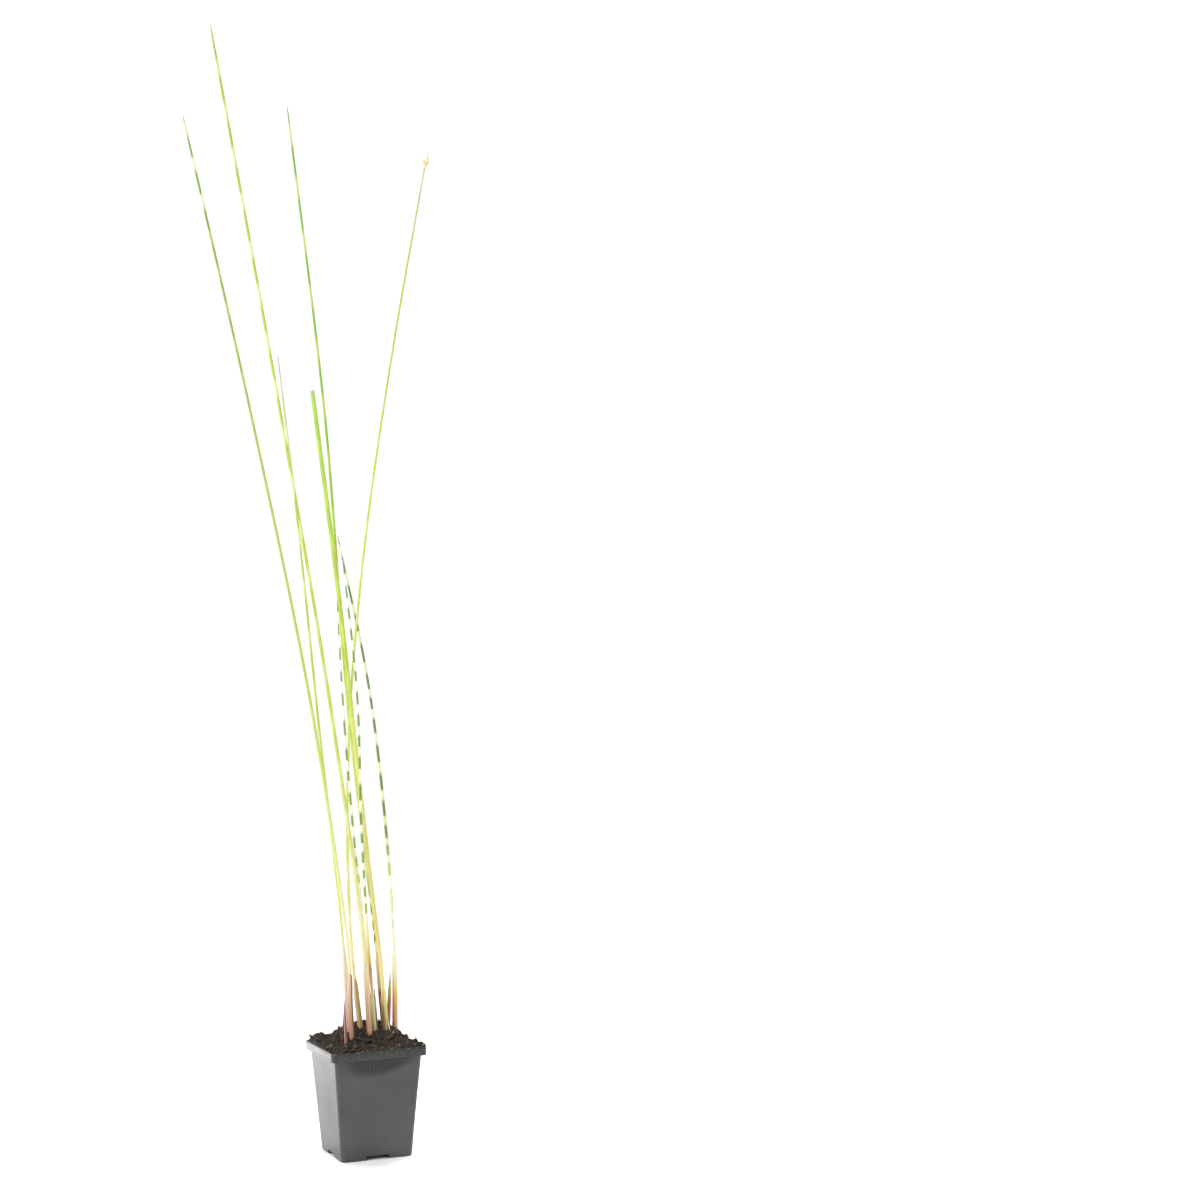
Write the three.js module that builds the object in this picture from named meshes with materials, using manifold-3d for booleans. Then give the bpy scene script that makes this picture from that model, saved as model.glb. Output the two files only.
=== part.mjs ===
// A pot-grown zebra rush: nine slender leafless culms with their basal sheaths and a few young shoots
// rise from a creeping rhizome, set in peat in a small square nursery pot.
// Millimetres, +Z up. The origin is the centre of the pot's base, and its sides lie along X and Y.
import * as THREE from 'three';
import { mergeVertices } from 'three/addons/utils/BufferGeometryUtils.js';
import Module from 'manifold-3d';

const wasm = await Module();
wasm.setup();

// Clearance between pieces that touch.
const GAP = 0.3;

// The pot: a tapered square body under a wider collar, standing on corner pads and a central pad.
const POT = {
  rimSide: 92,
  height: 102,
  collarHeight: 8.2,
  collarStep: 3.9,
  baseSide: 68.5,
  rimCorner: 5,
  baseCorner: 4,
  wall: 1.2,
  floor: 1.5,
  edge: 0.5,
  baseEdge: 1.5,
};
// Channels run in under the floor from the middle of each side, with a drain hole in each.
const CHANNEL = { width: 22, height: 4, centralPad: 18, reach: 38, drainHole: 8, drainAt: 20 };

// The peat: filled to the rim, with clods all over. The old plug of roots stands up as a broad mound with a
// smaller one in front of it, and two opposite corners are heaped.
const SOIL = { edge: 100.5, level: 103.4, clod: 1.5, rings: 13, pointsPerSide: 8 };
const HEAPS = [
  { x: 6, y: 18, height: 13.5, radius: 30.5 },
  { x: 20, y: -12, height: 11, radius: 13 },
  { x: -38, y: 38, height: 4.5, radius: 11 },
  { x: 38, y: -38, height: 3.5, radius: 10 },
];

// The rhizome: branches of one creeping rootstock, under the feet of the culms.
const RHIZOME = { level: 84, thickness: 10, sides: 8, joint: 6, waist: 0.88, endReach: 3 };
const RHIZOME_BRANCHES = [
  [[-22, -11], [-12.5, -3.5], [0, 4], [8, 5], [17, 13], [26, 16]],
  [[-18, 13], [-12, 6], [-12.5, -3.5], [4, -6], [11, -4], [18.5, -11]],
  [[11, -4], [20, 4], [29, 0]],
];

// The culms: the points each one passes through, its thickness at the foot and below the tip, and how far
// its sheath reaches from the foot. A cut culm ends bluntly, and a banded one is striped all the way up.
const CULM_SIDES = 8;
const CULM_STEPS = 22;
const CULM_POINT = 45;
const CULMS = {
  culm_a: {
    route: [
      [-12.5, -3.5, 86], [-16, -5, 135], [-18, -8.5, 185], [-27, -11.5, 250], [-52, -19, 400],
      [-116, -32, 700], [-178, -48, 954],
    ],
    foot: 3.2, tip: 2, sheath: 84,
  },
  culm_b: {
    route: [[4, -6, 86], [-1, -3, 180], [-23, 18, 400], [-60, 60, 700], [-112, 120, 1095]],
    foot: 3.6, tip: 2.4, sheath: 92,
  },
  culm_c: {
    route: [[26, 16, 86], [20, 24, 180], [4, 53, 400], [-6, 92, 700], [-28, 142, 1025]],
    foot: 3.4, tip: 2, sheath: 98,
  },
  culm_d: {
    route: [
      [0, 4, 86], [-8.5, 10.5, 180], [-6.5, 20.5, 400], [4.5, 6.5, 560], [18, -41, 740],
      [32.5, -102, 913],
    ],
    foot: 3.2, tip: 1.5, sheath: 76, cut: true,
  },
  culm_e: {
    route: [[-12, 6, 86], [-17, 9, 180], [-37, 19, 400], [-54, 28, 600], [-69, 37, 755]],
    foot: 3, tip: 1.6, sheath: 106,
  },
  culm_f: {
    route: [
      [18.5, -11, 86], [13, -7, 180], [7, 0, 250], [0.5, 7.5, 330], [-16, 18, 520], [-38.5, 26, 721],
    ],
    foot: 4, tip: 4.3, sheath: 68, cut: true,
  },
  culm_g: {
    route: [[29, 0, 86], [30, 2, 180], [25, 8, 300], [13, 21, 440], [-11, 38, 583]],
    foot: 3.2, tip: 2, sheath: 106, banded: true,
  },
  culm_h: {
    route: [[8, 5, 86], [4.5, 7.5, 180], [-8, 6, 300], [-16.5, 5.5, 410], [-16, 25.5, 521]],
    foot: 2.8, tip: 1.7, sheath: 62, banded: true,
  },
  culm_i: {
    route: [[11, -4, 86], [5, 0.5, 180], [-3, -4, 300], [-6.5, -5, 430], [-15.5, 7, 558]],
    foot: 3, tip: 1.7, sheath: 58, banded: true,
  },
};

// A sheath wraps its culm's foot, flares a little at its base and ends in a slanting mouth.
const SHEATH = { wall: 0.6, flare: 0.35, start: 5, slant: 12, steps: 7, holeDepth: 45 };

// The short shoots beside the culms: where each one's foot and tip are, and its thickness.
const SHOOT_FOOT = 92;
const SHOOT_SIDES = 6;
// The share of its thickness that a shoot has on its way up, from its foot to its point.
const SHOOT_PROFILE = [1, 1.05, 0.95, 0.8, 0.55, 0.28];
const BLUNT_PROFILE = [1, 1.05, 1, 0.98, 0.85, 0.25];
const SHOOTS = {
  shoot_front_red: { foot: [-22, -11], tip: [-23, -10, 138], thickness: 2.8, red: true },
  shoot_left_red: { foot: [-18, 13], tip: [-15, 12, 152], thickness: 3.4, red: true },
  shoot_back_brown: { foot: [17, 13], tip: [14, 15, 150], thickness: 2.6 },
  shoot_olive: { foot: [20, 5], tip: [18, 6, 135], thickness: 2.6 },
  shoot_grey_green: { foot: [20, -4], tip: [24, -4, 167], thickness: 3.8, profile: BLUNT_PROFILE },
  shoot_dark_red: { foot: [25.5, -5], tip: [26, -4.5, 124], thickness: 2.2, red: true },
};

// A withered sheath hangs loose against the front of the thick culm's foot.
const DRY_STRIP = {
  route: [[20, -16, 100], [19, -14.6, 117], [15.5, -13, 136]],
  width: 1.9,
  thickness: 0.8,
  profile: [1, 1, 0.9, 0.7, 0.35],
};

// The flower cluster on the tip of culm d: spikelets in three tiers round a hub, and a stiff bract.
const HUB = { height: 3, thickness: 2.2, profile: [0.8, 1, 0.8] };
const BRACT = { height: 15, lean: 1, thickness: 1.1, profile: [1, 1, 0.9, 0.6] };
const SPIKELETS = {
  count: 7,
  turn: 2.4,
  tier: 1.8,
  from: 0.8,
  reach: 3,
  length: 5.2,
  thickness: 2.6,
  profile: [0.35, 0.85, 1, 0.75, 0.25],
};

const materials = {
  pot: new THREE.MeshStandardMaterial({ color: 0x3c3f41, roughness: 0.42, metalness: 0 }),
  soil: new THREE.MeshStandardMaterial({ color: 0x2b211a, roughness: 0.95, metalness: 0 }),
  rhizome: new THREE.MeshStandardMaterial({ color: 0x6b4a33, roughness: 0.8, metalness: 0 }),
  culm: new THREE.MeshStandardMaterial({ color: 0x9cc04f, roughness: 0.45, metalness: 0 }),
  bandedCulm: new THREE.MeshStandardMaterial({ color: 0x7fa05e, roughness: 0.45, metalness: 0 }),
  sheath: new THREE.MeshStandardMaterial({ color: 0xb98a62, roughness: 0.6, metalness: 0 }),
  redShoot: new THREE.MeshStandardMaterial({ color: 0x8e4440, roughness: 0.55, metalness: 0 }),
  youngShoot: new THREE.MeshStandardMaterial({ color: 0x7d7a4a, roughness: 0.55, metalness: 0 }),
  dryStrip: new THREE.MeshStandardMaterial({ color: 0xcdb88c, roughness: 0.8, metalness: 0 }),
  spikelet: new THREE.MeshStandardMaterial({ color: 0x9a5a33, roughness: 0.75, metalness: 0 }),
};

const mix = THREE.MathUtils.lerp;
const clamp01 = (value) => THREE.MathUtils.clamp(value, 0, 1);

// A skin over a stack of rings of equally many points, counterclockwise seen from the last ring's side. It is
// capped at both ends, or joined end to end into a shell.
function loft(rings, joined = false) {
  const count = rings[0].length;
  const positions = rings.flat().flatMap((point) => [point.x, point.y, point.z]);
  const faces = [];
  const stacks = joined ? rings.length : rings.length - 1;
  for (let k = 0; k < stacks; k++) {
    const lower = k * count;
    const upper = ((k + 1) % rings.length) * count;
    for (let i = 0; i < count; i++) {
      const next = (i + 1) % count;
      faces.push(lower + i, lower + next, upper + next, lower + i, upper + next, upper + i);
    }
  }
  if (!joined) {
    const addCap = (ring, first, turned) => {
      const centre = ring.reduce((sum, point) => sum.add(point), new THREE.Vector3()).divideScalar(count);
      const hub = positions.length / 3;
      positions.push(centre.x, centre.y, centre.z);
      for (let i = 0; i < count; i++) {
        const next = (i + 1) % count;
        faces.push(hub, first + (turned ? next : i), first + (turned ? i : next));
      }
    };
    addCap(rings[0], 0, true);
    addCap(rings.at(-1), (rings.length - 1) * count, false);
  }
  const geometry = new THREE.BufferGeometry();
  geometry.setAttribute('position', new THREE.Float32BufferAttribute(positions, 3));
  geometry.setIndex(faces);
  return geometry;
}

function toSolid(geometry) {
  const bare = geometry.clone().deleteAttribute('normal').deleteAttribute('uv');
  const merged = mergeVertices(bare, 1e-4);
  return new wasm.Manifold(new wasm.Mesh({
    numProp: 3,
    vertProperties: new Float32Array(merged.attributes.position.array),
    triVerts: new Uint32Array(merged.index.array),
  }));
}

function toGeometry(solid) {
  const mesh = solid.getMesh();
  const geometry = new THREE.BufferGeometry();
  geometry.setAttribute('position', new THREE.BufferAttribute(mesh.vertProperties, 3));
  geometry.setIndex(new THREE.BufferAttribute(mesh.triVerts, 1));
  return geometry;
}

const joinAll = (solids) => solids.reduce((whole, piece) => whole.add(piece));
const cutAll = (body, cutters) => cutters.reduce((rest, cutter) => rest.subtract(cutter), body);

const part = new THREE.Group();

function addPiece(name, geometry, material) {
  const mesh = new THREE.Mesh(geometry, material);
  mesh.name = name;
  mesh.geometry.computeVertexNormals();
  part.add(mesh);
  return mesh;
}

// A level square ring with rounded corners, counterclockwise from above.
function squareRing(side, corner, z, pointsPerCorner = 5, pointsPerSide = 0) {
  const points = [];
  for (let quarter = 0; quarter < 4; quarter++) {
    const turn = quarter * Math.PI / 2;
    const rounded = [];
    for (let i = 0; i < pointsPerCorner; i++) {
      const angle = (i / (pointsPerCorner - 1)) * Math.PI / 2;
      const point = new THREE.Vector3(corner * Math.cos(angle), corner * Math.sin(angle), z);
      rounded.push(point.add(new THREE.Vector3(side / 2 - corner, side / 2 - corner, 0)));
    }
    const end = rounded.at(-1);
    const start = new THREE.Vector3(-end.x, end.y, z);
    for (let i = 1; i <= pointsPerSide; i++) {
      rounded.push(end.clone().lerp(start, i / (pointsPerSide + 1)));
    }
    points.push(...rounded.map((point) => point.applyAxisAngle(new THREE.Vector3(0, 0, 1), turn)));
  }
  return points;
}

const bodyTop = POT.height - POT.collarHeight;
const bodyTopSide = POT.rimSide - 2 * POT.collarStep;
// The body's outer side at a height.
const bodySide = (z) => mix(POT.baseSide, bodyTopSide, z / bodyTop);
const bodyCorner = (z) => mix(POT.baseCorner, POT.rimCorner - 1, z / bodyTop);

function potShell() {
  const { wall, floor, edge, baseEdge, rimSide, rimCorner, height } = POT;
  const inside = 2 * wall;
  return loft([
    squareRing(POT.baseSide - 2 * baseEdge, POT.baseCorner - baseEdge, 0),
    squareRing(bodySide(baseEdge), bodyCorner(baseEdge), baseEdge),
    squareRing(bodySide(bodyTop), bodyCorner(bodyTop), bodyTop),
    squareRing(rimSide - 2 * edge, rimCorner - edge, bodyTop),
    squareRing(rimSide, rimCorner, bodyTop + edge),
    squareRing(rimSide, rimCorner, height - edge),
    squareRing(rimSide - edge, rimCorner - edge / 2, height),
    squareRing(rimSide - inside, rimCorner - wall, height),
    squareRing(rimSide - inside, rimCorner - wall, bodyTop + wall),
    squareRing(bodySide(bodyTop) - inside, bodyCorner(bodyTop) - wall, bodyTop + wall),
    squareRing(bodySide(floor) - inside, bodyCorner(floor) - wall, floor),
  ]);
}

function box(width, depth, bottom, top) {
  return toSolid(new THREE.BoxGeometry(width, depth, top - bottom).translate(0, 0, (top + bottom) / 2));
}

// The floor rises in a cross over the channels.
function raisedFloor(clearance = 0) {
  const width = CHANNEL.width + 2 * POT.wall + 2 * clearance;
  const length = POT.baseSide - 1;
  const bottom = POT.floor * 0.8;
  const top = CHANNEL.height + POT.floor + clearance;
  return box(width, length, bottom, top).add(box(length, width, bottom, top));
}

function makePot() {
  const from = CHANNEL.centralPad / 2;
  const cutters = [0, 1, 2, 3].flatMap((side) => {
    const turn = side * Math.PI / 2;
    const channel = new THREE.BoxGeometry(CHANNEL.reach - from, CHANNEL.width, 2 * CHANNEL.height)
      .translate((from + CHANNEL.reach) / 2, 0, 0).rotateZ(turn);
    const radius = CHANNEL.drainHole / 2;
    const hole = new THREE.CylinderGeometry(radius, radius, 4 * CHANNEL.height, 16)
      .rotateX(Math.PI / 2).translate(CHANNEL.drainAt, 0, 0).rotateZ(turn);
    return [toSolid(channel), toSolid(hole)];
  });
  const body = toSolid(potShell()).add(raisedFloor());
  addPiece('pot', toGeometry(cutAll(body, cutters)), materials.pot);
}

// The height of the peat at a place.
function soilHeight(x, y) {
  const heaped = HEAPS.map((heap) => (
    heap.height * Math.exp(-((Math.hypot(x - heap.x, y - heap.y) / heap.radius) ** 4))
  ));
  const broadClods = Math.sin(0.71 * x + 0.3 * y) * Math.sin(0.52 * y - 0.4 * x);
  const smallClods = Math.sin(1.27 * x - 0.9 * y + 1) * Math.sin(1.1 * y + 0.6 * x);
  return SOIL.level + Math.max(...heaped) + SOIL.clod * (broadClods + 0.7 * smallClods);
}

// The peat fills the pot, a gap inside its walls. Its top is drawn in ring by ring from the rim to the
// middle.
function makeSoil(holes) {
  const inset = POT.wall + GAP;
  const shelf = bodyTop + inset;
  const ring = (side, corner, z) => squareRing(side - 2 * inset, corner - inset, z, 5, SOIL.pointsPerSide);
  const rim = ring(POT.rimSide, POT.rimCorner, SOIL.edge);
  const rings = [
    ring(bodySide(POT.floor), bodyCorner(POT.floor), POT.floor + GAP),
    ring(bodySide(bodyTop), bodyCorner(bodyTop), shelf),
    ring(POT.rimSide, POT.rimCorner, shelf),
    rim,
  ];
  for (let k = 1; k < SOIL.rings; k++) {
    const share = 1 - k / SOIL.rings;
    const riseFromEdge = clamp01(k / 2);
    rings.push(rim.map((point) => {
      const x = point.x * share;
      const y = point.y * share;
      return new THREE.Vector3(x, y, mix(SOIL.edge, soilHeight(x, y), riseFromEdge));
    }));
  }
  const body = toSolid(loft(rings)).subtract(raisedFloor(GAP));
  addPiece('soil', toGeometry(cutAll(body, holes)), materials.soil);
}

// The ring of points round a curve at a share of its length. The reference axis lies across the curve.
const UPRIGHT_REFERENCE = new THREE.Vector3(1, 0, 0);
const LEVEL_REFERENCE = new THREE.Vector3(0, 0, 1);

function ringRound(curve, share, radius, sides, reference = UPRIGHT_REFERENCE) {
  return Array.from({ length: sides }, (_, i) => (
    pointRound(curve, share, radius, (i / sides) * 2 * Math.PI, reference)
  ));
}

function pointRound(curve, share, radius, angle, reference = UPRIGHT_REFERENCE) {
  const at = clamp01(share);
  const tangent = curve.getTangentAt(at);
  const across = reference.clone().addScaledVector(tangent, -reference.dot(tangent)).normalize();
  const beside = tangent.clone().cross(across);
  return curve.getPointAt(at)
    .addScaledVector(across, radius * Math.cos(angle))
    .addScaledVector(beside, radius * Math.sin(angle));
}

const curveThrough = (points) => (
  new THREE.CatmullRomCurve3(points.map((point) => new THREE.Vector3(...point)), false, 'chordal')
);

// A culm's radius at a distance from its foot: an even taper, with a pointed or a cut end.
function culmRadius(culm, length, distance) {
  const radius = mix(culm.foot, culm.tip, distance / length) / 2;
  if (culm.cut) {
    return radius;
  }
  const toTip = clamp01((length - distance) / CULM_POINT);
  return mix(0.3, radius, Math.sqrt(toTip));
}

// Distances from the foot for the rings of a culm, closer together in the pointed end.
function culmStations(culm, length) {
  const even = Array.from({ length: CULM_STEPS + 1 }, (_, k) => (k / CULM_STEPS) * (length - CULM_POINT));
  const last = culm.cut ? [length] : [0.5, 0.85, 1].map((share) => length - CULM_POINT * (1 - share));
  return [...even, ...last];
}

function makeCulm(name, culm) {
  const curve = curveThrough(culm.route);
  const length = curve.getLength();
  const rings = culmStations(culm, length).map((distance) => (
    ringRound(curve, distance / length, culmRadius(culm, length, distance), CULM_SIDES)
  ));
  addPiece(name, loft(rings), culm.banded ? materials.bandedCulm : materials.culm);
}

// The sheath's outer radius at a share of its length from its base.
function sheathOuter(culm, length, share) {
  const flare = SHEATH.flare * (1 - share) ** 2;
  return culmRadius(culm, length, SHEATH.start) + GAP + SHEATH.wall + flare;
}

function makeSheath(name, culm) {
  const curve = curveThrough(culm.route);
  const length = curve.getLength();
  const ring = (share, radius) => Array.from({ length: CULM_SIDES }, (_, i) => {
    const angle = (i / CULM_SIDES) * 2 * Math.PI;
    const reach = culm.sheath - SHEATH.slant * (1 + Math.sin(angle)) / 2;
    return pointRound(curve, mix(SHEATH.start, reach, share) / length, radius, angle);
  });
  const inner = culmRadius(culm, length, 0) + GAP;
  const shares = Array.from({ length: SHEATH.steps + 1 }, (_, k) => k / SHEATH.steps);
  const outside = shares.map((share) => ring(share, sheathOuter(culm, length, share)));
  const inside = shares.toReversed().map((share) => ring(share, inner));
  addPiece(name, loft([...outside, ...inside], true), materials.sheath);
}

// The plain hole that a culm and its sheath stand in.
function culmHole(culm) {
  const curve = curveThrough(culm.route);
  const length = curve.getLength();
  const radius = sheathOuter(culm, length, 0) + GAP;
  return toSolid(loft([0, 1, 2, 3].map((step) => (
    ringRound(curve, (step / 3) * SHEATH.holeDepth / length, radius, CULM_SIDES)
  ))));
}

// The pocket in the rhizome that a culm's foot sits in.
function culmPocket(culm) {
  const radius = culm.foot / 2 + GAP;
  const curve = curveThrough(culm.route);
  const bottom = curve.getPointAt(0).sub(new THREE.Vector3(0, 0, GAP));
  const above = curve.getPointAt(RHIZOME.thickness / curve.getLength());
  return toSolid(loft([bottom, above].map((centre) => (
    Array.from({ length: CULM_SIDES }, (_, i) => {
      const angle = (i / CULM_SIDES) * 2 * Math.PI;
      return new THREE.Vector3(radius * Math.cos(angle), radius * Math.sin(angle), 0).add(centre);
    })
  ))));
}

function rhizomeBody(clearance = 0) {
  const radius = RHIZOME.thickness / 2 + clearance;
  return joinAll(RHIZOME_BRANCHES.map((branch) => {
    const curve = curveThrough(branch.map(([x, y]) => [x, y, RHIZOME.level]));
    const length = curve.getLength();
    const steps = Math.round(length / RHIZOME.joint);
    const ring = (share, ringRadius) => ringRound(curve, share, ringRadius, RHIZOME.sides, LEVEL_REFERENCE);
    const rings = Array.from({ length: steps + 1 }, (_, k) => (
      ring(k / steps, k % 2 ? radius * RHIZOME.waist : radius)
    ));
    // Each end is rounded off by a smaller ring beyond it.
    const roundedEnd = (share, outwards) => ring(share, radius / 2).map((point) => (
      point.addScaledVector(curve.getTangentAt(share), outwards * (RHIZOME.endReach + clearance))
    ));
    return toSolid(loft([roundedEnd(0, -1), ...rings, roundedEnd(1, 1)]));
  }));
}

function makeShoot(name, shoot) {
  const curve = curveThrough([[...shoot.foot, SHOOT_FOOT], shoot.tip]);
  const profile = shoot.profile ?? SHOOT_PROFILE;
  const rings = profile.map((share, k) => (
    ringRound(curve, k / (profile.length - 1), share * shoot.thickness / 2, SHOOT_SIDES)
  ));
  addPiece(name, loft(rings), shoot.red ? materials.redShoot : materials.youngShoot);
}

function shootHole(shoot) {
  const curve = curveThrough([[...shoot.foot, SHOOT_FOOT], shoot.tip]);
  const radius = Math.max(...SHOOT_PROFILE) * shoot.thickness / 2 + GAP;
  const below = new THREE.Vector3(0, 0, -GAP);
  const bottom = ringRound(curve, 0, radius, SHOOT_SIDES).map((point) => point.add(below));
  return toSolid(loft([bottom, ringRound(curve, 0.9, radius, SHOOT_SIDES)]));
}

// A flat strip: four-sided rings, wide across and thin front to back, narrowing to its tip.
function stripRings(clearance = 0) {
  const curve = curveThrough(DRY_STRIP.route);
  const back = DRY_STRIP.thickness / 2 + clearance;
  return DRY_STRIP.profile.map((share, k, profile) => {
    const centre = curve.getPointAt(k / (profile.length - 1));
    const side = share * DRY_STRIP.width / 2 + clearance;
    const drop = k === 0 ? -clearance : 0;
    return [[-side, -back], [side, -back], [side, back], [-side, back]]
      .map(([x, y]) => new THREE.Vector3(x, y, drop).add(centre));
  });
}

// A slim straight body whose thickness follows its profile from end to end.
function spindle(from, to, { thickness, profile }) {
  const line = new THREE.LineCurve3(new THREE.Vector3(...from), new THREE.Vector3(...to));
  return toSolid(loft(profile.map((share, k) => (
    ringRound(line, k / (profile.length - 1), share * thickness / 2, SHOOT_SIDES)
  ))));
}

function makeCluster() {
  const hub = spindle([0, 0, GAP], [0, 0, HUB.height], HUB);
  const bract = spindle([0, 0, HUB.height / 2], [BRACT.lean, 0, BRACT.height], BRACT);
  const spikelets = Array.from({ length: SPIKELETS.count }, (_, i) => {
    const angle = i * SPIKELETS.turn;
    const foot = 1 + (i % 3) * SPIKELETS.tier;
    const at = (reach, z) => [reach * Math.cos(angle), reach * Math.sin(angle), z];
    return spindle(at(SPIKELETS.from, foot), at(SPIKELETS.reach, foot + SPIKELETS.length), SPIKELETS);
  });
  const body = joinAll([hub, bract, ...spikelets]);
  const cluster = addPiece('flower_cluster', toGeometry(body), materials.spikelet);
  const culm = curveThrough(CULMS.culm_d.route);
  cluster.position.copy(culm.getPointAt(1));
  cluster.quaternion.setFromUnitVectors(new THREE.Vector3(0, 0, 1), culm.getTangentAt(1));
}

makePot();
makeSoil([
  rhizomeBody(GAP),
  ...Object.values(CULMS).map(culmHole),
  ...Object.values(SHOOTS).map(shootHole),
  toSolid(loft(stripRings(GAP))),
]);
const rootstock = cutAll(rhizomeBody(), Object.values(CULMS).map(culmPocket));
addPiece('rhizome', toGeometry(rootstock), materials.rhizome);
for (const [name, culm] of Object.entries(CULMS)) {
  makeCulm(name, culm);
  makeSheath(name.replace('culm', 'sheath'), culm);
}
for (const [name, shoot] of Object.entries(SHOOTS)) {
  makeShoot(name, shoot);
}
addPiece('dry_sheath_strip', loft(stripRings()), materials.dryStrip);
makeCluster();

export default part;
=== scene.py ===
import math
import random

import bmesh
import bpy
import numpy as np
from mathutils import Matrix, Vector, noise


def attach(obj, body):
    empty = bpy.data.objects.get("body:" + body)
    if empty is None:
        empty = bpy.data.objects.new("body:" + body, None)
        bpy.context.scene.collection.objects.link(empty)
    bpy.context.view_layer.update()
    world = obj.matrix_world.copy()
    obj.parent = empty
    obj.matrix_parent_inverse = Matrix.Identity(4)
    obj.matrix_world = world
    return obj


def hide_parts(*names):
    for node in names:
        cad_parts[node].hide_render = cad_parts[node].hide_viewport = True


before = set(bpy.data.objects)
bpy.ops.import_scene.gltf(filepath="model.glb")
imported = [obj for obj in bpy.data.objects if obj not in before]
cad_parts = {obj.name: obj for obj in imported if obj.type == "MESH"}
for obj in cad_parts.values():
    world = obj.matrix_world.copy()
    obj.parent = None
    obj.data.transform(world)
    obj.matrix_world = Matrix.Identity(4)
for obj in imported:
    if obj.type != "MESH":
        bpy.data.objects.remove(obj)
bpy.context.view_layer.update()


# The pot. An injection-moulded square nursery pot of dark grey polypropylene: a tapered, finely fluted body
# under a plain collar, standing on four corner feet and a middle foot between channels that drain it.

POT_BASE = 0.0685
POT_SHOULDER = 0.0842
POT_COLLAR = 0.092
POT_SHOULDER_HEIGHT = 0.0938
POT_HEIGHT = 0.102
POT_WALL = 0.0012
POT_FLOOR = 0.0015
POT_CORNER = 0.0045
FLUTES_PER_SIDE = 22
FLUTE_DEPTH = 0.00022
FLUTE_START = 0.004
FLUTE_STOP = 0.002
FLUTE_RUN_OUT = 0.0015
BASE_ROUNDING = 0.002
CHANNEL_WIDTH = 0.022
CHANNEL_HEIGHT = 0.004
MIDDLE_FOOT = 0.018
CHANNEL_REACH = 0.038
DRAIN_HOLE = 0.008
DRAIN_HOLE_AT = 0.020
RAISED_FROM = 0.0012
TOUCHING = 1e-6
WALL_SLACK = 1e-5


def paint(code):
    """A colour written as a paint code, as Blender's own values."""
    shades = [int(code[i:i + 2], 16) / 255 for i in (1, 3, 5)]
    return [s / 12.92 if s <= 0.04045 else ((s + 0.055) / 1.055) ** 2.4 for s in shades] + [1]


def stops(text):
    """Reads (place, colour) stops from a line of percentages and paint codes."""
    pairs = [stop.split() for stop in text.split(", ")]
    return [(float(percent) / 100, paint(code)) for percent, code in pairs]


def deselect():
    bpy.ops.object.select_all(action="DESELECT")


def pick(*objects):
    """Leaves only these objects selected, the first one active."""
    deselect()
    for obj in objects:
        obj.select_set(True)
    bpy.context.view_layer.objects.active = objects[0]


def enter(mode):
    """Goes into edit mode or back to object mode."""
    bpy.ops.object.mode_set(mode=mode)


def choose(obj, kind, wanted):
    """In edit mode, selects the faces, edges or vertices that a test wants."""
    shape = bmesh.from_edit_mesh(obj.data)
    bpy.ops.mesh.select_mode(type=kind)
    bpy.ops.mesh.select_all(action="DESELECT")
    for element in {"FACE": shape.faces, "EDGE": shape.edges, "VERT": shape.verts}[kind]:
        element.select_set(wanted(element))
    if kind == "VERT":
        shape.select_flush_mode()
    bmesh.update_edit_mesh(obj.data)


def choose_edges(obj, wanted):
    """In edit mode, selects the edges that a test on their two ends wants."""
    choose(obj, "EDGE", lambda edge: wanted(edge.verts[0].co, edge.verts[1].co))


def climbs(a, b):
    """Whether an edge goes up from one ring to the next."""
    return abs(a.z - b.z) > 0.0005


def spans_a_side(a, b):
    """Whether an edge runs level along a whole side."""
    return abs(a.z - b.z) < TOUCHING and (a - b).length > 0.05


def choose_top(obj):
    """In edit mode, selects the highest face."""
    highest = max(point.co.z for point in obj.data.vertices)
    choose(obj, "FACE", lambda face: face.normal.z > 0.9 and face.calc_center_median().z > highest - TOUCHING)


def draw_on(obj, height, side):
    """Extrudes the selected cap to a height and a side length."""
    cap = [point.co for point in bmesh.from_edit_mesh(obj.data).verts if point.select]
    now = 2 * max(place.x for place in cap)
    bpy.ops.mesh.extrude_region_move(TRANSFORM_OT_translate={"value": (0, 0, height - cap[0].z)})
    bpy.ops.transform.resize(value=(side / now, side / now, 1), center_override=(0, 0, height))


def block(size, place):
    """A cutting or building block for a boolean."""
    bpy.ops.mesh.primitive_cube_add(size=1, location=place)
    made = bpy.context.object
    made.scale = size
    bpy.ops.object.transform_apply(location=True, rotation=True, scale=True)
    return made


def apply_modifier(obj, kind, **settings):
    pick(obj)
    modifier = obj.modifiers.new(kind.lower(), kind)
    for key, value in settings.items():
        setattr(modifier, key, value)
    bpy.ops.object.modifier_apply(modifier=modifier.name)


def combine(obj, tool, operation):
    """Adds or cuts the tool's shape, and uses the tool up."""
    apply_modifier(obj, "BOOLEAN", operation=operation, object=tool, solver="EXACT")
    bpy.data.objects.remove(tool)


def smooth_under(degrees):
    """Shades the active piece smooth where its faces meet at less than an angle."""
    bpy.ops.object.shade_smooth_by_angle(angle=math.radians(degrees))


def hand_over(obj, name, slot, material, *nodes):
    """Names a finished piece, gives it its finish, hangs it under the root body and hides the imported parts
    of the nodes it stands for.
    """
    obj.name = name
    obj.data.materials.clear()
    obj.data.materials.append(material)
    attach(obj, "root")
    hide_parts(*nodes)


def body_side(height):
    """How wide the pot's body is at a height."""
    return POT_BASE + (POT_SHOULDER - POT_BASE) * height / POT_SHOULDER_HEIGHT


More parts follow.
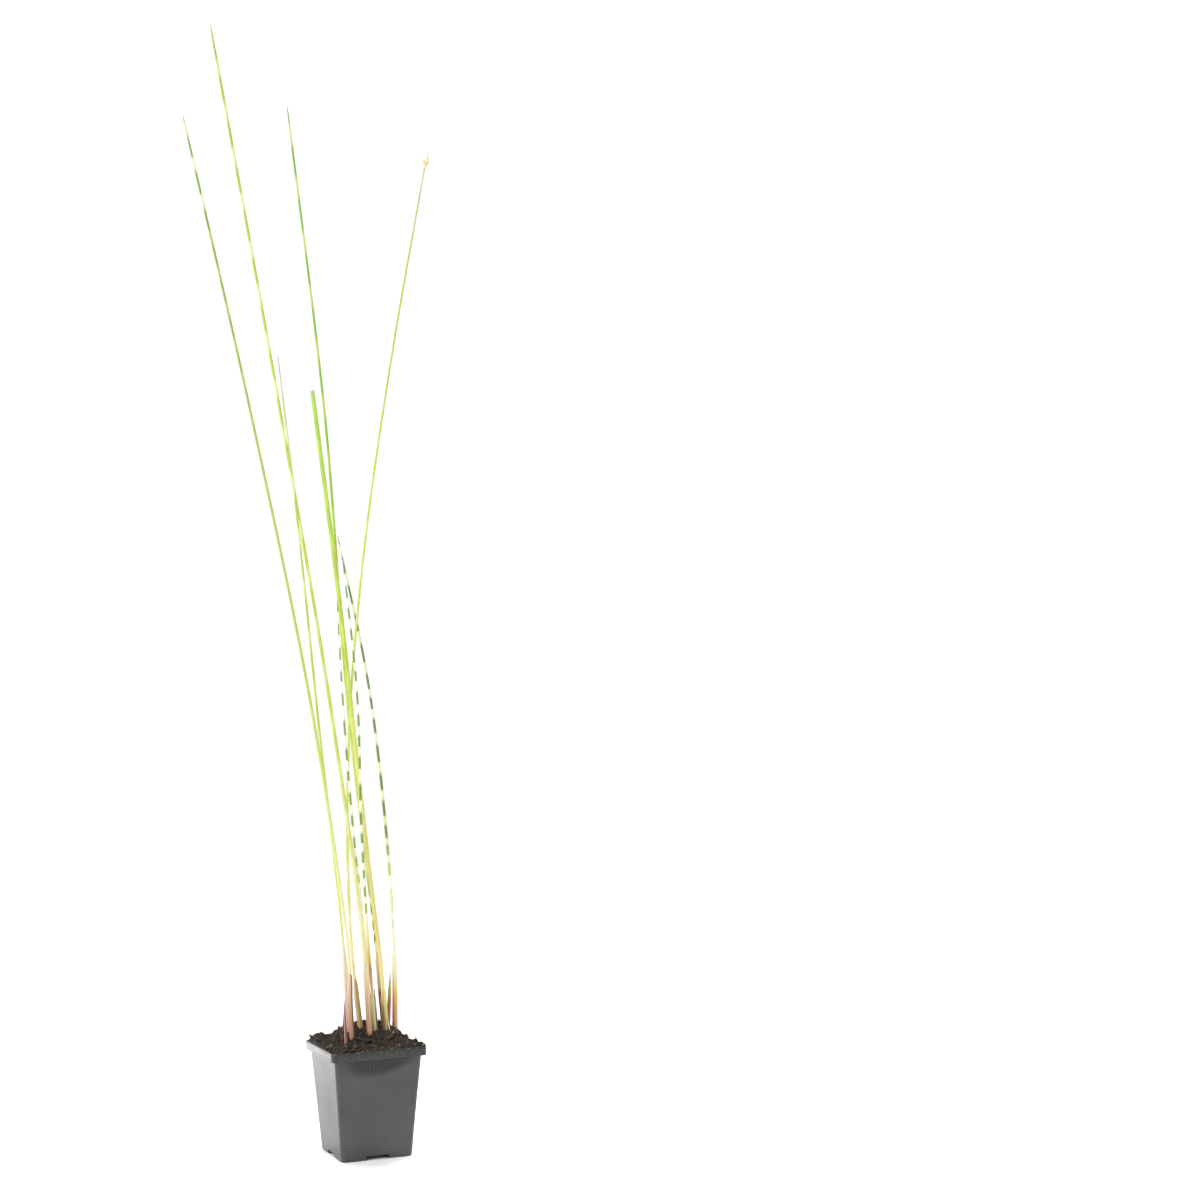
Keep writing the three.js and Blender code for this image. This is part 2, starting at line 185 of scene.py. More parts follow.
deselect()
flute_top = POT_SHOULDER_HEIGHT - FLUTE_STOP
flute_ends = (FLUTE_START, FLUTE_START + FLUTE_RUN_OUT, flute_top - FLUTE_RUN_OUT, flute_top)
pot = block((POT_BASE, POT_BASE, 0.001), (0, 0, 0.0005))
enter("EDIT")
choose_top(pot)
for height in (*flute_ends, POT_SHOULDER_HEIGHT):
    draw_on(pot, height, body_side(height))
choose_edges(pot, climbs)
bpy.ops.mesh.bevel(offset=POT_CORNER, segments=7, affect="EDGES")
choose_edges(pot, spans_a_side)
bpy.ops.mesh.subdivide(number_cuts=2 * FLUTES_PER_SIDE - 1)


def in_a_flute(place, across, along):
    """Whether a point lies at the bottom of a flute in a wall that faces the first of two axes."""
    half = body_side(place.z) / 2
    straight = half - POT_CORNER
    if not flute_ends[1] - TOUCHING < place.z < flute_ends[2] + TOUCHING:
        return False
    if abs(abs(place[across]) - half) > WALL_SLACK or abs(place[along]) > straight - WALL_SLACK:
        return False
    step = (place[along] + straight) / (2 * straight) * 2 * FLUTES_PER_SIDE
    return round(step) % 2 == 1


sunk = 1 - 2 * FLUTE_DEPTH / POT_SHOULDER
choose(pot, "VERT", lambda point: in_a_flute(point.co, 0, 1))
bpy.ops.transform.resize(value=(sunk, 1, 1), center_override=(0, 0, 0))
choose(pot, "VERT", lambda point: in_a_flute(point.co, 1, 0))
bpy.ops.transform.resize(value=(1, sunk, 1), center_override=(0, 0, 0))
enter("OBJECT")
enter("EDIT")
choose_top(pot)
# The collar, its rim and then the inside down to the floor, as heights and side lengths.
for height, side in (
    (POT_SHOULDER_HEIGHT, POT_COLLAR - 0.0014),
    (POT_SHOULDER_HEIGHT + 0.0002, POT_COLLAR - 0.0006),
    (POT_SHOULDER_HEIGHT + 0.0008, POT_COLLAR),
    (POT_HEIGHT - 0.0009, POT_COLLAR),
    (POT_HEIGHT - 0.0003, POT_COLLAR - 0.0003),
    (POT_HEIGHT, POT_COLLAR - 0.0009),
    (POT_HEIGHT, POT_COLLAR - 2 * POT_WALL),
    (POT_SHOULDER_HEIGHT + POT_WALL, POT_COLLAR - 2 * POT_WALL),
    (POT_SHOULDER_HEIGHT + POT_WALL, POT_SHOULDER - 2 * POT_WALL),
    (POT_FLOOR, body_side(POT_FLOOR) - 2 * POT_WALL),
):
    draw_on(pot, height, side)
choose_edges(pot, lambda a, b: a.z < TOUCHING and b.z < TOUCHING)
bpy.ops.mesh.bevel(offset=BASE_ROUNDING, segments=5, affect="EDGES")
enter("OBJECT")

cross_width = CHANNEL_WIDTH + 2 * POT_WALL
cross_height = CHANNEL_HEIGHT + POT_FLOOR
cross_length = POT_BASE - 0.001
for size in ((cross_width, cross_length), (cross_length, cross_width)):
    raised = block((*size, cross_height - RAISED_FROM), (0, 0, (cross_height + RAISED_FROM) / 2))
    combine(pot, raised, "UNION")
for side in range(4):
    turn = Matrix.Rotation(side * math.pi / 2, 4, "Z")
    length = CHANNEL_REACH - MIDDLE_FOOT / 2
    channel = block((length, CHANNEL_WIDTH, 2 * CHANNEL_HEIGHT), (MIDDLE_FOOT / 2 + length / 2, 0, 0))
    channel.data.transform(turn)
    combine(pot, channel, "DIFFERENCE")
    bpy.ops.mesh.primitive_cylinder_add(vertices=24, radius=DRAIN_HOLE / 2, depth=0.02,
                                        location=turn @ Vector((DRAIN_HOLE_AT, 0, 0)))
    hole = bpy.context.object
    bpy.ops.object.transform_apply(location=True, rotation=True, scale=True)
    combine(pot, hole, "DIFFERENCE")
pick(pot)
smooth_under(32)


class Nodes:
    """The nodes of a new material, added one after the other and joined by name."""

    def __init__(self, material_name):
        self.material = bpy.data.materials.new(material_name)
        self.material.use_nodes = True
        self.tree = self.material.node_tree
        self.shader = self.tree.nodes["Principled BSDF"]

    def add(self, kind, inputs=None, **settings):
        node = self.tree.nodes.new("ShaderNode" + kind)
        for key, value in settings.items():
            setattr(node, key, value)
        for key, value in (inputs or {}).items():
            self.feed(node.inputs[key], value)
        return node

    def feed(self, socket, value):
        if isinstance(value, bpy.types.NodeSocket):
            self.tree.links.new(value, socket)
        else:
            socket.default_value = value

    def here(self):
        """The place on the piece, as Object coordinates."""
        return self.add("TexCoord").outputs["Object"]

    def finish(self, colour, roughness):
        self.feed(self.shader.inputs["Base Color"], colour)
        self.feed(self.shader.inputs["Roughness"], roughness)

    def ramp(self, factor, colours):
        """A colour that changes with the factor through (place, colour) stops."""
        node = self.add("ValToRGB", {"Fac": factor})
        elements = node.color_ramp.elements
        while len(elements) > 1:
            elements.remove(elements[-1])
        elements[0].position, elements[0].color = colours[0]
        for place, colour in colours[1:]:
            elements.new(place).color = colour
        return node.outputs["Color"]

    def mix(self, factor, first, second, blend="MIX"):
        node = self.add("Mix", data_type="RGBA", blend_type=blend)
        self.feed(node.inputs[0], factor)
        self.feed(node.inputs[6], first)
        self.feed(node.inputs[7], second)
        return node.outputs[2]

    def scaled(self, value, low, high, new_low, new_high, way="LINEAR"):
        """A value moved from one range to another."""
        return self.add("MapRange", {"Value": value, "From Min": low, "From Max": high, "To Min": new_low,
                                     "To Max": new_high}, interpolation_type=way).outputs[0]

    def noise(self, vector, scale, detail, roughness=0.5):
        return self.add("TexNoise", {"Vector": vector, "Scale": scale, "Detail": detail,
                                     "Roughness": roughness}).outputs["Fac"]

    def maths(self, operation, *values):
        return self.add("Math", dict(enumerate(values)), operation=operation).outputs[0]

    def relief(self, height, strength, distance):
        bump = self.add("Bump", {"Height": height, "Strength": strength, "Distance": distance})
        self.feed(self.shader.inputs["Normal"], bump.outputs["Normal"])


# The plastic carries painted shade under the collar, nearly black in a crescent in the middle of each side
# and striped along the flutes, and it is dusty above.
PAINTED_SHADE_HALF_WIDTH = 0.034
PAINTED_SHADE_DEPTH = 0.0155
PAINTED_SHADE_SLANT = -0.12
FLUTE_SHADE_PITCH = 0.0034
plastic = Nodes("dark_grey_polypropylene")
here = plastic.here()
clouding = plastic.noise(here, 26, 4, 0.6)
grain = plastic.noise(here, 2200, 2)
x, y, height = plastic.add("SeparateXYZ", {"Vector": here}).outputs
streaked = plastic.add("Mapping", {"Vector": here, "Scale": (1, 1, 0.06)}).outputs["Vector"]
scuffs = plastic.noise(streaked, 420, 3, 0.7)
body = plastic.ramp(clouding, stops("30 #353739, 70 #414345"))
scuffed = plastic.mix(plastic.scaled(scuffs, 0.6, 0.78, 0, 0.35), body, paint("#5b5f61"))
faces_y = plastic.maths("GREATER_THAN", plastic.maths("ABSOLUTE", y), plastic.maths("ABSOLUTE", x))
sideways = plastic.maths("MULTIPLY_ADD", plastic.maths("SUBTRACT", x, y), faces_y, y)
depth = plastic.maths("DIVIDE", plastic.maths("SUBTRACT", POT_SHOULDER_HEIGHT, height),
                      plastic.maths("MULTIPLY_ADD", sideways, PAINTED_SHADE_SLANT, PAINTED_SHADE_DEPTH))
across = plastic.maths("MULTIPLY", sideways, 1 / PAINTED_SHADE_HALF_WIDTH)
under_collar = plastic.add("CombineXYZ", {"X": across, "Y": depth}).outputs[0]
from_middle = plastic.add("VectorMath", {0: under_collar}, operation="LENGTH").outputs["Value"]
# Painted shade under the collar: strongest in a crescent in the middle of each side, striped along the flutes
# below.
painted_shade = plastic.maths("MULTIPLY", plastic.scaled(from_middle, 0.72, 1.12, 1, 0),
                     plastic.scaled(height, 0.0934, 0.0938, 1, 0))
flute_shade_stripes = plastic.maths("COSINE", plastic.maths("MULTIPLY", sideways, math.tau / FLUTE_SHADE_PITCH))
painted_shade = plastic.maths("MULTIPLY", painted_shade, plastic.scaled(flute_shade_stripes, -1, 1, 0.7, 1))
# Where the painted shade lies, the plastic is darkened nearly to black.
dark = plastic.mix(painted_shade, scuffed, paint("#040505"))
dark = plastic.mix(plastic.scaled(height, 0.0936, 0.0939, 0, 0.85), dark, paint("#1c2021"))
dust = plastic.maths("MULTIPLY", plastic.scaled(height, 0.088, 0.103, 0, 1),
                     plastic.scaled(plastic.noise(here, 330, 5, 0.65), 0.5, 0.7, 0, 0.75))
plastic.finish(plastic.mix(dust, dark, paint("#655846")), plastic.scaled(clouding, 0.3, 0.7, 0.28, 0.38))
plastic.relief(grain, 0.12, 0.0002)
hand_over(pot, "nursery_pot", "pot_plastic", plastic.material, "pot")


# The rhizome. The plant's creeping rootstock, a brown branching body as thick as a little finger, lying
# flat in the peat. Every culm grows up out of a pocket in it.

RHIZOME_LEVEL = 84
RHIZOME_RADIUS = 0.005
RHIZOME_JOINT = 0.006
RHIZOME_END = 2.5
RHIZOME_GRAIN = 0.0007
ROUTE_STEPS = 60
RHIZOME_BRANCHES = (
    ((-22, -11), (-12.5, -3.5), (0, 4), (8, 5), (17, 13), (26, 16)),
    ((-18, 13), (-12, 6), (-12.5, -3.5), (4, -6), (11, -4), (18.5, -11)),
    ((11, -4), (20, 4), (29, 0)),
)


def smooth_route(corners, spacing):
    """Evenly spaced points on the smooth curve through some corners in millimetres, and their distances."""
    knots = [Vector(corner) / 1000 for corner in corners]
    knots = [2 * knots[0] - knots[1], *knots, 2 * knots[-1] - knots[-2]]
    dense = []
    for before, start, end, after in zip(knots, knots[1:], knots[2:], knots[3:]):
        spans = ((start - before).length, (end - start).length, (after - end).length)
        leave = ((start - before) / spans[0] - (end - before) / (spans[0] + spans[1])
                 + (end - start) / spans[1]) * spans[1]
        arrive = ((end - start) / spans[1] - (after - start) / (spans[1] + spans[2])
                  + (after - end) / spans[2]) * spans[1]
        for step in range(ROUTE_STEPS):
            t = step / ROUTE_STEPS
            dense.append(start + leave * t + (3 * (end - start) - 2 * leave - arrive) * t * t
                         + (2 * (start - end) + leave + arrive) * t ** 3)
    dense.append(knots[-2])
    lengths = [0]
    for first, second in zip(dense, dense[1:]):
        lengths.append(lengths[-1] + (second - first).length)
    distances = np.linspace(0, lengths[-1], max(2, round(lengths[-1] / spacing) + 1))
    points = [Vector([np.interp(distance, lengths, [place[axis] for place in dense]) for axis in range(3)])
              for distance in distances]
    return points, distances


def outline_of(sides, depth=1, rib=0):
    """A closed outline to draw stems with. Every second point may lie deeper, which makes ribs."""
    deselect()
    bpy.ops.mesh.primitive_circle_add(vertices=sides, radius=1)
    outline = bpy.context.object
    enter("EDIT")
    bpy.ops.transform.resize(value=(1, depth, 1), center_override=(0, 0, 0))
    shape = bmesh.from_edit_mesh(outline.data)
    for number, point in enumerate(shape.verts):
        point.select_set(number % 2 == 0)
    bmesh.update_edit_mesh(outline.data)
    bpy.ops.transform.resize(value=(1 - rib, 1 - rib, 1), center_override=(0, 0, 0))
    enter("OBJECT")
    bpy.ops.object.convert(target="CURVE")
    return bpy.context.object


def drawn(points, radii, outline, capped=True):
    """The body made by drawing an outline along some points, as large as the radii say."""
    path = bpy.data.curves.new("stem", "CURVE")
    path.dimensions = "3D"
    path.twist_mode = "Z_UP"
    spline = path.splines.new("POLY")
    spline.points.add(len(points) - 1)
    for knot, point, radius in zip(spline.points, points, radii):
        knot.co = (*point, 1)
        knot.radius = radius
    path.bevel_mode = "OBJECT"
    path.bevel_object = outline
    path.use_fill_caps = capped
    stem = bpy.data.objects.new("stem", path)
    bpy.context.collection.objects.link(stem)
    pick(stem)
    bpy.ops.object.convert(target="MESH")
    stem = bpy.context.object
    enter("EDIT")
    bpy.ops.mesh.select_all(action="SELECT")
    bpy.ops.mesh.remove_doubles(threshold=TOUCHING)
    bpy.ops.mesh.normals_make_consistent(inside=False)
    enter("OBJECT")
    return stem


def joined(objects):
    pick(*objects)
    bpy.ops.object.join()
    return bpy.context.object


plain_outline = outline_of(24)


def bore(obj, points, radii):
    """Cuts a plain round hole along some points."""
    combine(obj, drawn(points, radii, plain_outline), "DIFFERENCE")


def rootstock(clearance):
    """All the branches grown into one body, thicker all round by a clearance."""
    branches = []
    for branch in RHIZOME_BRANCHES:
        corners = [Vector((x, y, RHIZOME_LEVEL)) for x, y in branch]
        corners.insert(0, corners[0] + (corners[0] - corners[1]).normalized() * RHIZOME_END)
        corners.append(corners[-1] + (corners[-1] - corners[-2]).normalized() * RHIZOME_END)
        points, distances = smooth_route(corners, 0.001)
        swell = [1 - 0.12 * math.sin(math.pi / 2 * distance / RHIZOME_JOINT) ** 8 for distance in distances]
        ends = [min(1, math.sqrt((min(distance, distances[-1] - distance) + 0.0008) / 0.004))
                for distance in distances]
        radii = [RHIZOME_RADIUS * wide * end + clearance for wide, end in zip(swell, ends)]
        branches.append(drawn(points, radii, plain_outline))
    body = joined(branches)
    apply_modifier(body, "REMESH", mode="VOXEL", voxel_size=RHIZOME_GRAIN)
    return body


rhizome = rootstock(0)
root_skin = Nodes("brown_rootstock_skin")
here = root_skin.here()
scales = root_skin.noise(here, 900, 4, 0.6)
patches = root_skin.noise(here, 160, 2)
bark = root_skin.ramp(patches, stops("35 #4a2f1f, 65 #7a5638"))
root_skin.finish(root_skin.mix(root_skin.scaled(scales, 0.35, 0.65, 0, 0.6), bark, paint("#a98963")), 0.8)
root_skin.relief(scales, 0.5, 0.0004)


# The culms. Nine slender, round, leafless green stems full of soft pith, thinly ribbed along their length
# and striped across in cream. Seven taper to a point; one is cut off bluntly and one carries the flowers.

CULM_SPACING = 0.005
CULM_POINT = 0.045
CULM_RIBS = 14
CULM_TIP = 0.0003
CUT_BEVEL = 0.0003
CUT_SHRINK = 0.82
CLEARANCE = 0.0003
POCKET_TOP = 3
SLIVER_LAYERS = 4
GREEN_PART = 0.63
CULMS = {
    "a": {
        "route": ((-12.5, -3.5, 86), (-16, -5, 135), (-18, -8.5, 185), (-27, -11.5, 250), (-52, -19, 400),
                  (-116, -32, 700), (-178, -48, 954)),
        "foot": 3.2, "tip": 2, "sheath": 84, "bands": (23, 33),
        "green": "0 #b98a58, 9 #ecdcb0, 12 #e9e2b4, 20 #dfe29a, 32 #c9d868, 42 #b8d462, 60 #acca5e, "
                 "90 #87ac45",
        "pale": "0 #b98a58, 9 #ecdcb0, 12 #e9e2b4, 20 #dfe29a, 32 #c9d868, 42 #b5cc5b, 88 #b5cd58, "
                "92 #fbf3cb, 100 #e5dd98",
    },
    "b": {
        "route": ((4, -6, 86), (-1, -3, 180), (-23, 18, 400), (-60, 60, 700), (-112, 120, 1095)),
        "foot": 3.6, "tip": 2.4, "sheath": 92, "bands": (0, 47),
        "green": "0 #c9a070, 8 #e8d8a4, 11 #e4e4b0, 15 #dde09a, 30 #c7d255, 60 #b4d545, 100 #9ec031",
        "pale": "0 #c9a070, 8 #e8d8a4, 11 #e8e6b8, 15 #e8e6ac, 30 #d6de82, 60 #e6ec94, 85 #e3e69c, "
                "100 #d5d96d",
    },
    "c": {
        "route": ((26, 16, 86), (20, 24, 180), (4, 53, 400), (-6, 92, 700), (-28, 142, 1025)),
        "foot": 3.4, "tip": 2, "sheath": 98, "bands": (189, 57), "low_bands": (109, 119, 134, 150),
        "green": "0 #6e4526, 7 #d8c690, 11 #85703f, 12.5 #a8a04e, 13.5 #b9c060, 14.3 #78924a, 16 #9bb860, "
                 "18 #a8ba62, 25 #cdd878, 38 #b3ca4c, 60 #8bbd19, 100 #79a827",
        "pale": "0 #6e4526, 7 #dccfa0, 11 #ece0b4, 15 #efeabc, 18 #d8dc98, 25 #dfe291, 38 #c4d65e, "
                "60 #afce3c, 75 #bfd15f, 95 #d1d974",
    },
    "d": {
        "route": ((0, 4, 86), (-8.5, 10.5, 180), (-6.5, 20.5, 400), (4.5, 6.5, 560), (18, -41, 740),
                  (32.5, -102, 913)),
        "foot": 3.2, "tip": 1.5, "sheath": 76, "cut": True, "bands": (20, 41),
        "green": "0 #a98440, 9 #ecd8a0, 13 #e6e0a4, 18 #d3da72, 40 #cfdf66, 60 #c6d846, 90 #b3ca31, "
                 "100 #bdc686",
        "pale": "0 #a98440, 9 #ecd8a0, 13 #eae2ac, 18 #e3e1be, 40 #dae184, 60 #dee184, 90 #b7c656, "
                "100 #d2d3b5",
    },
    "e": {
        "route": ((-12, 6, 86), (-17, 9, 180), (-37, 19, 400), (-54, 28, 600), (-69, 37, 755)),
        "foot": 3, "tip": 1.6, "sheath": 106, "bands": (15, 49),
        "green": "0 #b06a58, 10 #dbb48e, 17 #dcdc98, 25 #cfd87a, 50 #b7c941, 75 #b2cd4a, 92 #c3cf8e, "
                 "100 #b3ad9c",
        "pale": "0 #b06a58, 10 #dbb48e, 17 #e6e2a8, 25 #dce28c, 50 #c8d365, 75 #e2e692, 92 #dcdcb4, "
                "100 #c9c4b2",
    },
    "f": {
        "route": ((18.5, -11, 86), (13, -7, 180), (7, 0, 250), (0.5, 7.5, 330), (-16, 18, 520),
                  (-38.5, 26, 721)),
        "foot": 4, "tip": 4.3, "sheath": 68, "cut": True, "bands": (16, 44),
        "green": "0 #8a8a40, 8 #dcd88c, 12 #dfda90, 16 #dcd282, 20 #d6c878, 30 #dad482, 38 #dade84, "
                 "48 #d4e070, 60 #bad048, 99 #a8d250, 100 #c2bb99",
        "pale": "0 #8a8a40, 8 #dcd88c, 12 #dfda90, 16 #e0d68a, 20 #dcce80, 30 #e0da8c, 48 #dde47e, "
                "60 #cedd5e, 99 #aedc54, 100 #bdc483",
    },
    "g": {
        "route": ((29, 0, 86), (30, 2, 180), (25, 8, 300), (13, 21, 440), (-11, 38, 583)),
        "foot": 3.2, "tip": 2, "sheath": 106, "bands": (492, 27), "green_part": 0.6,
        "low_bands": (122, 136, 172, 191, 207, 228, 253, 279, 308, 331, 350, 376, 407, 434, 465),
        "green": "0 #c07a4c, 12 #deb98e, 20 #e6d8a5, 25 #e3ddac, 31 #e2e3a6, 36 #b5c65f, 41 #77953f, "
                 "46 #6c8a44, 90 #6f8c52, 100 #8aa45a",
        "pale": "0 #c98a5c, 12 #e2c096, 20 #f0e6c9, 27 #f0ecd6, 34 #f1f1e3, 42 #d8dd97, 50 #dfe0a8, "
                "56 #e8e8b9, 62 #f2efd9, 75 #e6e4b4, 100 #f3f0cc",
    },
    "h": {
        "route": ((8, 5, 86), (4.5, 7.5, 180), (-8, 6, 300), (-16.5, 5.5, 410), (-16, 25.5, 521)),
        "foot": 2.8, "tip": 1.7, "sheath": 62, "bands": (427, 22), "green_part": 0.47,
        "low_bands": (167, 182, 200, 221, 241, 264, 283, 307, 336, 358, 379, 403),
        "green": "0 #a97862, 12 #ba9f73, 25 #efe3b8, 34 #f2eec6, 38 #d2d878, 43 #9cc456, 50 #84a93e, "
                 "60 #7d9e4a, 75 #86a060, 90 #94a85c, 100 #86a048",
        "pale": "0 #a97862, 12 #cdb288, 25 #f3e8c4, 34 #f8f5df, 100 #fcfbf0",
    },
    "i": {
        "route": ((11, -4, 86), (5, 0.5, 180), (-3, -4, 300), (-6.5, -5, 430), (-15.5, 7, 558)),
        "foot": 3, "tip": 1.7, "sheath": 58, "bands": (460, 22), "green_part": 0.52,
        "low_bands": (139, 154, 172, 186, 205, 222, 245, 275, 296, 315, 336, 358, 375, 397, 417, 437),
        "green": "0 #b49a4a, 11 #dcd68a, 14 #c9a878, 18 #8a6c3c, 21 #a8984a, 25 #9fae5a, 30 #a6b557, "
                 "36 #8bab4c, 50 #749a48, 60 #7c9d3f, 80 #7a9c48, 100 #7d9c4f",
        "pale": "0 #c2a85a, 11 #e2dc98, 14 #d9bc8c, 18 #b08c54, 21 #d8c878, 26 #eee2ae, 32 #f6f2d2, "
                "100 #fcfbf0",
    },
}


def culm_radius(culm, length, distance):
    """Half a culm's thickness at a distance from its foot: an even taper, with a pointed or a cut end."""
    radius = (culm["foot"] + (culm["tip"] - culm["foot"]) * distance / length) / 2000
    if culm.get("cut"):
        return radius * (1 if distance < length - CUT_BEVEL / 2 else CUT_SHRINK)
    to_tip = max(0, min(1, (length - distance) / CULM_POINT))
    return CULM_TIP + (radius - CULM_TIP) * math.sqrt(to_tip)


def band_places(culm, distances):
    """The number of the band that each distance lies in, counted from the lowest, and how far up in it."""
    first, pitch = culm["bands"]
    edges = np.array([*culm.get("low_bands", ()), *np.arange(first, 1200, pitch)])
    tops = edges[:-1] + culm.get("green_part", GREEN_PART) * np.diff(edges)
    numbers = np.arange(len(tops))
    places = np.stack([edges[:-1], tops], axis=1).ravel()
    values = np.stack([numbers, numbers + GREEN_PART], axis=1).ravel()
    return np.interp(distances * 1000, [places[0] - 1, *places], [-0.1, *values])


def mark_stem(stem, points, distances, culm=None):
    """Writes on every vertex how far up and where round its stem it lies, for the finish to follow."""
    spots = np.array([point.co for point in stem.data.vertices])
    middle = np.array(points)
    ahead = np.gradient(middle, axis=0)
    ahead /= np.linalg.norm(ahead, axis=1)[:, None]
    nearest = np.array([int(np.argmin(((middle - spot) ** 2).sum(axis=1))) for spot in spots])
    away = spots - middle[nearest]
    along = distances[nearest] + (away * ahead[nearest]).sum(axis=1)
    across = np.array([1.0, 0, 0]) - ahead * ahead[:, :1]
    across /= np.linalg.norm(across, axis=1)[:, None]
    beside = np.cross(ahead, across)
    turn = np.arctan2((away * beside[nearest]).sum(axis=1), (away * across[nearest]).sum(axis=1))
    for title, values in (("height_share", (along - distances[0]) / (distances[-1] - distances[0])),
                          ("band_place", band_places(culm, along) if culm else along)):
        stem.data.attributes.new(title, "FLOAT", "POINT").data.foreach_set("value", values.astype(np.float32))
    spread = np.stack([np.cos(turn), np.sin(turn), along * 10], axis=1).astype(np.float32)
    stem.data.attributes.new("stem_place", "FLOAT_VECTOR", "POINT").data.foreach_set("vector", spread.ravel())


class GroupNodes(Nodes):
    """The nodes of a new node group, between its named inputs and its outputs."""

    def __init__(self, name, inputs, outputs):
        self.tree = bpy.data.node_groups.new(name, "ShaderNodeTree")
        for title, kind in inputs.items():
            self.tree.interface.new_socket(title, in_out="INPUT", socket_type="NodeSocket" + kind)
        for title in outputs:
            self.tree.interface.new_socket(title, in_out="OUTPUT", socket_type="NodeSocketFloat")
        self.given = self.tree.nodes.new("NodeGroupInput").outputs
        self.results = self.tree.nodes.new("NodeGroupOutput").inputs


fibres = GroupNodes("lengthwise_fibres", {"Stem Place": "Vector", "Fineness": "Float"}, ["Lines"])
stretched = fibres.add("VectorMath", {0: fibres.given["Stem Place"], 1: (1, 1, 0.35)}, operation="MULTIPLY")
lines = fibres.noise(stretched.outputs[0], fibres.given["Fineness"], 3, 0.6)
fibres.feed(fibres.results["Lines"], lines)

bands = GroupNodes("zebra_bands", {"Band Place": "Float", "Stem Place": "Vector", "Unevenness": "Float"},
                   ["Green", "Lower Edge"])
spot = bands.given["Stem Place"]
drift = bands.scaled(bands.noise(spot, 2.2, 1), 0, 1, -0.2, 0.2)
ragged = bands.scaled(bands.noise(spot, 6, 2), 0, 1, -0.06, 0.06)
shift = bands.maths("MULTIPLY", drift, bands.given["Unevenness"])
moved = bands.maths("ADD", bands.given["Band Place"], shift)
within = bands.maths("FRACT", bands.maths("ADD", moved, ragged))
bands.feed(bands.results["Green"], bands.scaled(within, 0.52, 0.74, 1, 0, "SMOOTHSTEP"))
bands.feed(bands.results["Lower Edge"], bands.scaled(within, 0, 0.07, 1, 0))


# The direction that lies to the right as seen from the front of the plant.
VIEW_RIGHT = (0.91, -0.41)


def stem_finish(name, along, roughness, pale=None, flecks="#6b4a2c", streaks=0, uneven=1.0, side=None):
    """The finish of one stem: a colour for each height, bands if it has them, fibres and a few brown flecks.

    A side is a strip of painted shade or of a painted highlight down the left (-1) or the right (1) as seen
    from the front.
    """
    skin = Nodes(name)
    share = skin.add("Attribute", attribute_name="height_share").outputs["Fac"]
    spot = skin.add("Attribute", attribute_name="stem_place").outputs["Vector"]
    colour = skin.ramp(share, stops(along))
    if pale:
        band_place = skin.add("Attribute", attribute_name="band_place").outputs["Fac"]
        banding = skin.add("Group", {"Band Place": band_place, "Stem Place": spot, "Unevenness": uneven},
                           node_tree=bands.tree)
        lime = skin.mix(0.6, colour, paint("#d8e46a"))
        colour = skin.mix(skin.scaled(banding.outputs["Lower Edge"], 0, 1, 0, 0.7), colour, lime)
        colour = skin.mix(banding.outputs["Green"], skin.ramp(share, stops(pale)), colour)
    fine = skin.add("Group", {"Stem Place": spot, "Fineness": 7.0}, node_tree=fibres.tree).outputs[0]
    tone = skin.ramp(fine, [(0.32, (0.8, 0.78, 0.75, 1)), (0.62, (1, 1, 1, 1))])
    colour = skin.mix(1.0, colour, tone, "MULTIPLY")
    if streaks:
        broad = skin.add("Group", {"Stem Place": spot, "Fineness": 1.7}, node_tree=fibres.tree).outputs[0]
        colour = skin.mix(skin.scaled(broad, 0.36, 0.54, streaks, 0), colour, paint(flecks))
        colour = skin.mix(skin.scaled(broad, 0.56, 0.68, 0, 0.45), colour, paint("#f0dcb8"))
    # A side strip paints shade or a highlight down one side of the stem.
    if side:
        which, start, painted_side_colours = side
        to_the_right = (VIEW_RIGHT[0] * which, VIEW_RIGHT[1] * which, 0)
        towards = skin.add("VectorMath", {0: spot, 1: to_the_right}, operation="DOT_PRODUCT").outputs["Value"]
        colour = skin.mix(skin.scaled(towards, start, start + 0.3, 0, 0.85), colour,
                          skin.ramp(share, stops(painted_side_colours)))
    fleck = skin.scaled(skin.noise(spot, 11, 4, 0.7), 0.66, 0.74, 0, 0.55)
    skin.finish(skin.mix(fleck, colour, paint(flecks)), roughness)
    skin.relief(fine, 0.35, 0.0003)
    return skin.material


def mend_cuts(obj):
    """Takes out the loose-edged slivers that many cuts have left in a mesh, and closes what stays open."""
    pick(obj)
    enter("EDIT")
    bpy.ops.mesh.select_mode(type="EDGE")
    bpy.ops.mesh.select_all(action="SELECT")
    bpy.ops.mesh.quads_convert_to_tris()
    bpy.ops.mesh.remove_doubles(threshold=TOUCHING)
    for layer in range(SLIVER_LAYERS):
        choose(obj, "FACE", lambda face: sum(edge.is_boundary for edge in face.edges) > 1)
        bpy.ops.mesh.delete(type="FACE")
    bpy.ops.mesh.select_mode(type="EDGE")
    bpy.ops.mesh.select_all(action="DESELECT")
    bpy.ops.mesh.select_non_manifold(use_wire=False, use_multi_face=False, use_non_contiguous=False,
                                     use_verts=False)
    bpy.ops.mesh.fill_holes(sides=0)
    bpy.ops.mesh.select_all(action="SELECT")
    bpy.ops.mesh.quads_convert_to_tris()
    enter("OBJECT")


